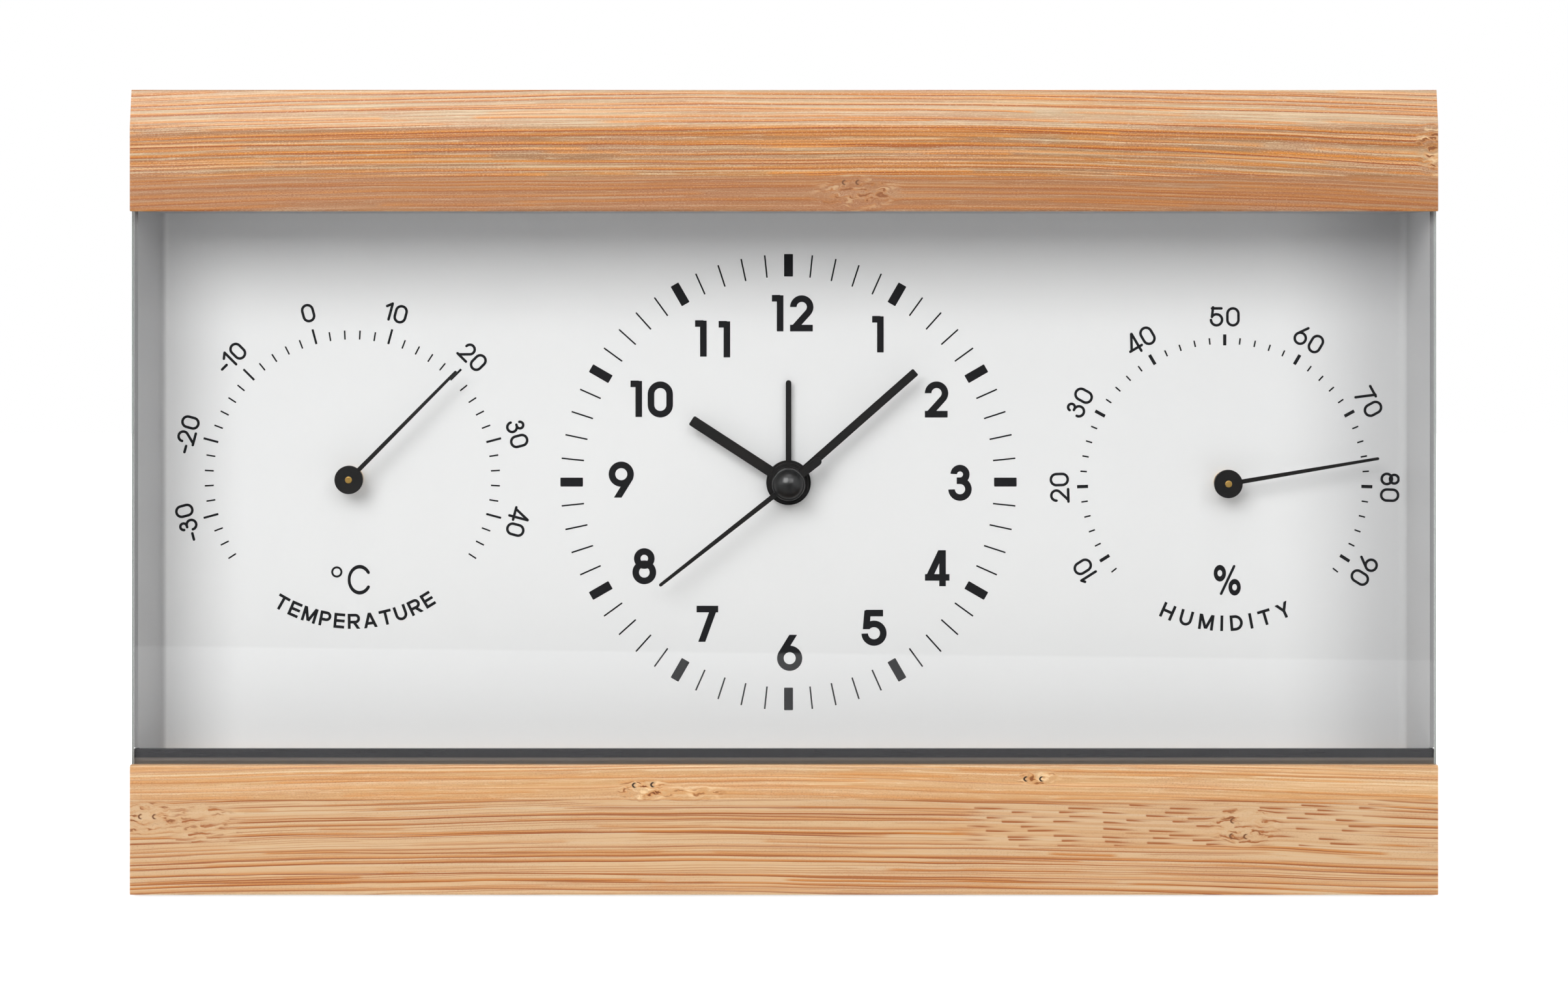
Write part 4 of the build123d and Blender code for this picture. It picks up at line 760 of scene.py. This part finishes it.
def figure(pen, sign, height, flag):
    """One figure with its lower left corner at the pen's place. The flag is the reach and drop of a 1."""
    s = pen.stroke
    wide = figure_widths[sign] * height
    h = height
    if sign == "9":
        kept = pen.spot
        pen.spot = kept @ Matrix.Translation((wide, 0, h)) @ Matrix.Rotation(pi, 4, "Y")
        figure(pen, "6", height, flag)
        pen.spot = kept
    elif sign == "0":
        r = wide / 2
        pen.bend((r, h - r), r - s / 2, 0, 180)
        pen.bend((r, r), r - s / 2, 180, 180)
        for x in (s / 2, wide - s / 2):
            pen.run((x, r), (x, h - r))
    elif sign == "1":
        pen.run((wide - s / 2, s / 2 if pen.rounded else 0), (wide - s / 2, h - s / 2 if pen.rounded else h))
        reach, drop = flag
        pen.run((wide - s / 2 - reach, h - s * 0.44 - drop), (wide - s / 2, h - s * 0.44))
    elif sign == "2":
        r = wide / 2 - s / 2
        centre = (wide / 2, h - wide / 2)
        foot = (s * 0.62, s / 2)
        last = touch(centre, r, foot, 1)
        pen.bend(centre, r, 180, last - 180)
        leave = (centre[0] + r * cos(radians(last)), centre[1] + r * sin(radians(last)))
        pen.run(leave, foot)
        pen.run((0, s / 2), (wide - s * 0.1, s / 2))
    elif sign == "3":
        low = wide / 2
        high = (h + s) / 2 - low
        pen.bend((wide / 2, h - high), high - s / 2, 176, -266)
        pen.bend((wide / 2, low), low - s / 2, 90, -268)
        pen.run((wide / 2 - s * 0.5, 2 * low - s / 2), (wide / 2, 2 * low - s / 2))
    elif sign == "4":
        stem = wide - 0.1 * h - s / 2
        bar = 0.245 * h
        pen.run((stem, 0), (stem, h))
        pen.slant((s * 0.62, bar), (stem - s * 0.1, h))
        pen.run((0, bar), (wide, bar))
    elif sign == "5":
        r = wide / 2 - s / 2
        centre = (wide / 2, wide / 2)
        pen.bend(centre, r, 140, -318)
        start = (centre[0] + r * cos(radians(140)), centre[1] + r * sin(radians(140)))
        pen.slant((start[0] - s * 0.12, start[1] - s * 0.3), (wide * 0.25, h - s * 0.1))
        pen.run((wide * 0.17, h - s / 2), (wide * 0.86, h - s / 2))
    elif sign == "6":
        r = wide / 2 - s / 2
        centre = (wide / 2, wide / 2)
        tip = (wide * 0.64, h)
        meet = touch(centre, r, tip, 1)
        pen.bend(centre, r, 0, 360)
        leave = (centre[0] + r * cos(radians(meet)), centre[1] + r * sin(radians(meet)))
        pen.slant(leave, tip)
    elif sign == "7":
        pen.run((0, h - s / 2), (wide, h - s / 2))
        pen.slant((wide * 0.24, 0), (wide - s * 0.62, h - s * 0.3))
    elif sign == "8":
        low = wide / 2
        high = wide * 0.435
        pen.bend((low, low), low - s / 2, 0, 360)
        pen.bend((low, h - high), high - s / 2, 0, 360)
    elif sign == "-":
        pen.run((0, h * 0.4), (wide, h * 0.4))


def letter(pen, sign, height):
    """One capital letter with its lower left corner at the pen's place."""
    s = pen.stroke
    wide = letter_widths[sign] * height
    h = height
    left, right, middle = s / 2, wide - s / 2, wide / 2
    top, half = h - s / 2, h / 2
    if sign in "EPRHMUDINF":
        pen.run((left, half if sign == "U" else 0), (left, h))
    if sign in "HMN":
        pen.run((right, 0), (right, h))
    if sign == "E":
        for z in (s / 2, half, top):
            pen.run((0, z), (wide, z))
    elif sign == "F":
        for z in (half, top):
            pen.run((0, z), (wide, z))
    elif sign == "N":
        pen.slant((left + s * 0.1, h), (right - s * 0.1, 0))
    elif sign == "O":
        pen.bend((middle, half), middle - left, 0, 360, (half - s / 2) / (middle - left))
    elif sign == "T":
        pen.run((0, top), (wide, top))
        pen.run((middle, 0), (middle, h))
    elif sign == "H":
        pen.run((left, half), (right, half))
    elif sign == "M":
        pen.slant((left + s * 0.1, h), (middle, s * 0.4))
        pen.slant((right - s * 0.1, h), (middle, s * 0.4))
    elif sign in "PR":
        r = (top - half + s * 0.3) / 2
        low = top - 2 * r
        pen.run((left, top), (right - r, top))
        pen.run((left, low), (right - r, low))
        pen.bend((right - r, top - r), r, -90, 180)
        if sign == "R":
            pen.slant((middle, low), (wide - s * 0.55, 0))
    elif sign == "A":
        pen.slant((s * 0.55, 0), (middle, h))
        pen.slant((wide - s * 0.55, 0), (middle, h))
        pen.run((wide * 0.22, h * 0.3), (wide * 0.78, h * 0.3))
    elif sign == "U":
        r = (right - left) / 2
        pen.run((right, r + s / 2), (right, h))
        pen.run((left, r + s / 2), (left, h))
        pen.bend((middle, r + s / 2), r, 180, 180)
    elif sign == "D":
        r = top / 2 - s / 4
        pen.run((left, top), (right - r, top))
        pen.run((left, s / 2), (right - r, s / 2))
        pen.bend((right - r, h / 2), r, -90, 180)
    elif sign == "Y":
        pen.run((middle, 0), (middle, half))
        pen.slant((middle, half - s * 0.2), (s * 0.6, h))
        pen.slant((middle, half - s * 0.2), (wide - s * 0.6, h))


def label(pen, centre, radius, angle, text, height, gap, flag):
    """A number on a scale, its top away from the middle of the scale."""
    widths = [figure_widths[sign] * height for sign in text]
    along = -(sum(widths) + gap * (len(text) - 1)) / 2
    x = centre[0] + radius * cos(radians(angle))
    z = centre[1] + radius * sin(radians(angle))
    for sign, wide in zip(text, widths):
        pen.at(x, z, angle - 90)
        pen.spot = pen.spot @ Matrix.Translation((along, 0, -height / 2))
        figure(pen, sign, height, flag)
        along += wide + gap


def curved_word(pen, centre, radius, middle, text, height, gap):
    """A word along the lower side of a scale, its letters' tops towards the middle of the scale."""
    widths = [letter_widths[sign] * height for sign in text]
    travelled = -(sum(widths) + gap * (len(text) - 1)) / 2
    for sign, wide in zip(text, widths):
        angle = middle + degrees((travelled + wide / 2) / radius)
        pen.at(centre[0] + radius * cos(radians(angle)), centre[1] + radius * sin(radians(angle)), angle + 90)
        pen.spot = pen.spot @ Matrix.Translation((-wide / 2, 0, -height / 2))
        letter(pen, sign, height)
        travelled += wide + gap


def tick(pen, centre, inner, outer, angle, stroke):
    """One mark of a scale, along its radius."""
    pen.stroke = stroke
    pen.at(*centre, angle)
    pen.run((inner, 0), (outer, 0))


ink = print_ink()
print_depth = dial_front - 0.03
clock = centre_of("hand_cap")
thermometer = centre_of("thermometer_bush")
hygrometer = centre_of("hygrometer_bush")

# Minute ring and hour marks
ring_inner = 41.05
ring_outer = 45.55
fine_stroke = 0.3
hour_stroke = 1.78
ring = Pen(fine_stroke)
for minute in range(60):
    if minute % 5:
        tick(ring, clock, ring_inner, ring_outer, 90 - 6 * minute, fine_stroke)
ring.finish("minute_ring_print", "case", ink, print_depth)

marks = Pen(hour_stroke)
for hour in range(12):
    tick(marks, clock, ring_inner, ring_outer, 30 * hour, hour_stroke)
bmesh.ops.bevel(
    marks.mesh,
    geom=[*marks.mesh.verts],
    offset=0.12,
    offset_type="OFFSET",
    segments=2,
    profile=0.5,
    affect="VERTICES",
    material=-1,
)
marks.finish("hour_marks_print", "case", ink, print_depth)

# Hour numbers: each figure with its middle, from the hand axis
numerals = (
    ("1", -2.17, 33.7), ("2", 2.64, 33.7), ("1", 17.85, 29.5), ("2", 29.56, 16.5), ("3", 34.24, -0.15),
    ("4", 29.69, -17.2), ("5", 17.07, -29.1), ("6", 0.23, -34.1), ("7", -16.2, -28.3), ("8", -28.8, -16.8),
    ("9", -33.4, 0.5), ("1", -30.4, 16.6), ("0", -25.6, 16.5), ("1", -17.5, 28.65), ("1", -12.8, 28.5),
)
numeral_height = 7.2
numbers = Pen(1.32)
for sign, x, z in numerals:
    wide = figure_widths[sign] * numeral_height
    numbers.at(clock[0] + x - wide / 2, clock[1] + z - numeral_height / 2)
    figure(numbers, sign, numeral_height, (1.65, 0.0))
numbers.finish("hour_numbers_print", "case", ink, print_depth)


def thermometer_angle(value):
    return 105 - 3 * value


def hygrometer_angle(value):
    return 90 - 3.06 * (value - 50)


# Thermometer scale, in degrees: two to a tick, ten to a number
scale = Pen(fine_stroke)
for value in range(-36, 47, 2):
    main = value % 10 == 0 and -30 <= value <= 40
    outer, stroke = (30.75, 0.43) if main else (29.5, fine_stroke)
    tick(scale, thermometer, 27.7, outer, thermometer_angle(value), stroke)
scale.finish("thermometer_scale_print", "case", ink, print_depth)

# Its numbers, then the letter and the ring of the degree sign
number_stroke = 0.52
numbers = Pen(number_stroke, rounded=True)
for value in range(-30, 41, 10):
    label(numbers, thermometer, 34.1, thermometer_angle(value), str(value), 3.75, 0.5, (0.95, 0.75))
numbers.stroke = 0.58
numbers.at(thermometer[0] + 1.36, thermometer[1] - 20.3)
numbers.bend((0.1, 0), 2.1, 33, 294, 1.24)
numbers.stroke = 0.4
numbers.at(thermometer[0] - 3.1, thermometer[1] - 18.75)
numbers.bend((0, 0), 0.92, 0, 360)
numbers.finish("thermometer_numbers_print", "case", ink, print_depth)

# Hygrometer scale, in percent: two to a tick, ten to a number
scale = Pen(fine_stroke)
for value in range(8, 93, 2):
    inner, outer, stroke = (27.6, 28.9, fine_stroke) if value % 10 else (27.3, 29.5, 0.65)
    tick(scale, hygrometer, inner, outer, hygrometer_angle(value), stroke)
scale.finish("hygrometer_scale_print", "case", ink, print_depth)

# Its numbers, then the bar and the two rings of the percent sign
numbers = Pen(number_stroke, rounded=True)
for value in range(10, 91, 10):
    label(numbers, hygrometer, 33.0, hygrometer_angle(value), str(value), 3.9, 0.55, (0.6, 0.5))
numbers.at(hygrometer[0] + 0.53, hygrometer[1] - 19.6)
numbers.run((-1.25, -2.7), (1.35, 2.8))
numbers.stroke = 0.76
numbers.bend((-1.5, 1.4), 0.85, 0, 360, 1.35)
numbers.bend((1.45, -1.4), 0.85, 0, 360, 1.35)
numbers.finish("hygrometer_numbers_print", "case", ink, print_depth)

# Plain words under the two scales
words = Pen(0.56)
curved_word(words, thermometer, 28.6, -89.0, "TEMPERATURE", 3.0, 0.62)
curved_word(words, hygrometer, 28.2, -89.5, "HUMIDITY", 3.1, 1.35)
words.finish("scale_words_print", "case", ink, print_depth)

# Marks behind, drawn as seen from the rear: the ways to turn the knobs and to slide the switch
arrow_radius = 7.6
barb = 1.3
mark_height = 1.7
mark_gap = 0.4
marks = Pen(0.32)
for knob in ("time_knob", "alarm_knob"):
    x, z = centre_of(knob)
    marks.at(-x, z)
    marks.bend((0, 0), arrow_radius, 122, -58)
    tip = (arrow_radius * cos(radians(62)), arrow_radius * sin(radians(62)))
    for lean in (128, 188):
        marks.run(tip, (tip[0] + barb * cos(radians(lean)), tip[1] + barb * sin(radians(lean))))
x, z = centre_of("alarm_switch")
for text, middle in (("ON", -x - 5.2), ("OFF", -x + 1.6)):
    widths = [letter_widths[sign] * mark_height + mark_gap for sign in text]
    along = middle - sum(widths) / 2
    for sign, wide in zip(text, widths):
        marks.at(along, z + 3.4)
        letter(marks, sign, mark_height)
        along += wide
pad_print = moulded("pale_pad_print", tone(150, 150, 152), tone(176, 176, 178), 0.4, 0.6, 0.002)
marks.finish("rear_marks_print", "case", pad_print, housing_rear + 0.03, rear=True)


# Studio: a pale floor with a slightly turned front edge, lit so that it is seen as white
def floor_finish():
    f = finish("studio_floor")
    point = f.place()
    cloud = f.noise(point, 0.004, detail=2.0)
    mirrored = f.node("ShaderNodeLightPath", out="Is Glossy Ray")
    colour = f.blend(f.blend(tone(246, 246, 246), tone(242, 242, 242), cloud), tone(200, 200, 202), mirrored)
    paper = f.node("ShaderNodeBsdfDiffuse", {}, {"Color": colour})
    x, y, z = f.split(point)
    near = (x * x + y * y).root().fade(480.0, 240.0)
    white = f.node("ShaderNodeEmission", {}, {"Color": (1.0, 1.0, 1.0, 1.0), "Strength": 1 - near * 0.25})
    both = f.node("ShaderNodeAddShader", {}, {0: paper, 1: white})
    seen = f.node("ShaderNodeLightPath", out="Is Camera Ray")
    return f.show(f.node("ShaderNodeMixShader", {}, {0: seen, 1: paper, 2: both}))


floor_mesh = bmesh.new()
corners = [(-0.95, -0.49, 0), (0.95, -0.319, 0), (1.6, 1.6, 0), (-1.6, 1.6, 0)]
floor_mesh.faces.new([floor_mesh.verts.new(corner) for corner in corners])
object_from(floor_mesh, "studio_floor", floor_finish())

world = bpy.data.worlds.new("studio")
bpy.context.scene.world = world
f = Finish(world)
white = tone(255, 255, 255)
direction = f.split(f.node("ShaderNodeTexCoord", out="Generated"))
around = (direction[1] + 1).fade(0.03, 0.22)
room = f.node("ShaderNodeBackground", {}, {"Color": white, "Strength": 0.14})
seen_in_gloss = f.blend(tone(20, 20, 22), white, around)
mirrored = f.node("ShaderNodeBackground", {}, {"Color": seen_in_gloss})
plain = f.node("ShaderNodeBackground", {}, {"Color": white, "Strength": 1.0})
path = f.node("ShaderNodeLightPath").socket.node.outputs
glossy = f.node("ShaderNodeMixShader", {}, {0: Value(f, path["Is Glossy Ray"]), 1: room, 2: mirrored})
direct = Value(f, path["Is Camera Ray"]).most(Value(f, path["Is Transmission Ray"]))
f.show(f.node("ShaderNodeMixShader", {}, {0: direct, 1: glossy, 2: plain}), "ShaderNodeOutputWorld")


def lamp(name, azimuth, elevation, distance, size, power):
    """A soft square lamp that faces the clock's middle. Azimuth 0 is the front, positive to the right."""
    target = Vector((0, 0, 0.08))
    turn = radians(azimuth)
    flat = cos(radians(elevation)) * distance
    rise = sin(radians(elevation)) * distance
    place = target + Vector((flat * sin(turn), -flat * cos(turn), rise))
    light = bpy.data.lights.new(name, "AREA")
    light.shape = "SQUARE"
    light.size = size
    light.energy = power
    made = bpy.data.objects.new(name, light)
    made.location = place
    made.rotation_euler = (target - place).to_track_quat("-Z", "Y").to_euler()
    bpy.context.scene.collection.objects.link(made)


lamp("key_lamp", -20, 25, 1.3, 0.7, 10.2)
lamp("fill_lamp", 18, 24, 1.4, 0.7, 4.5)
lamp("top_lamp", 0, 64, 1.3, 0.8, 2.2)
lamp("rear_lamp", 165, 34, 1.3, 0.8, 9.5)
lamp("rear_fill_lamp", -140, 16, 1.5, 0.8, 4.0)

camera = bpy.data.cameras.new("camera")
camera.sensor_width = 36.0
camera.lens = 74.5
camera.shift_y = -0.151
camera_object = bpy.data.objects.new("camera", camera)
camera_object.location = (0.0, -0.6475, 0.1225)
camera_object.rotation_euler = (radians(90), 0.0, 0.0)
bpy.context.scene.collection.objects.link(camera_object)
bpy.context.scene.camera = camera_object
bpy.context.scene.view_settings.view_transform = "Standard"
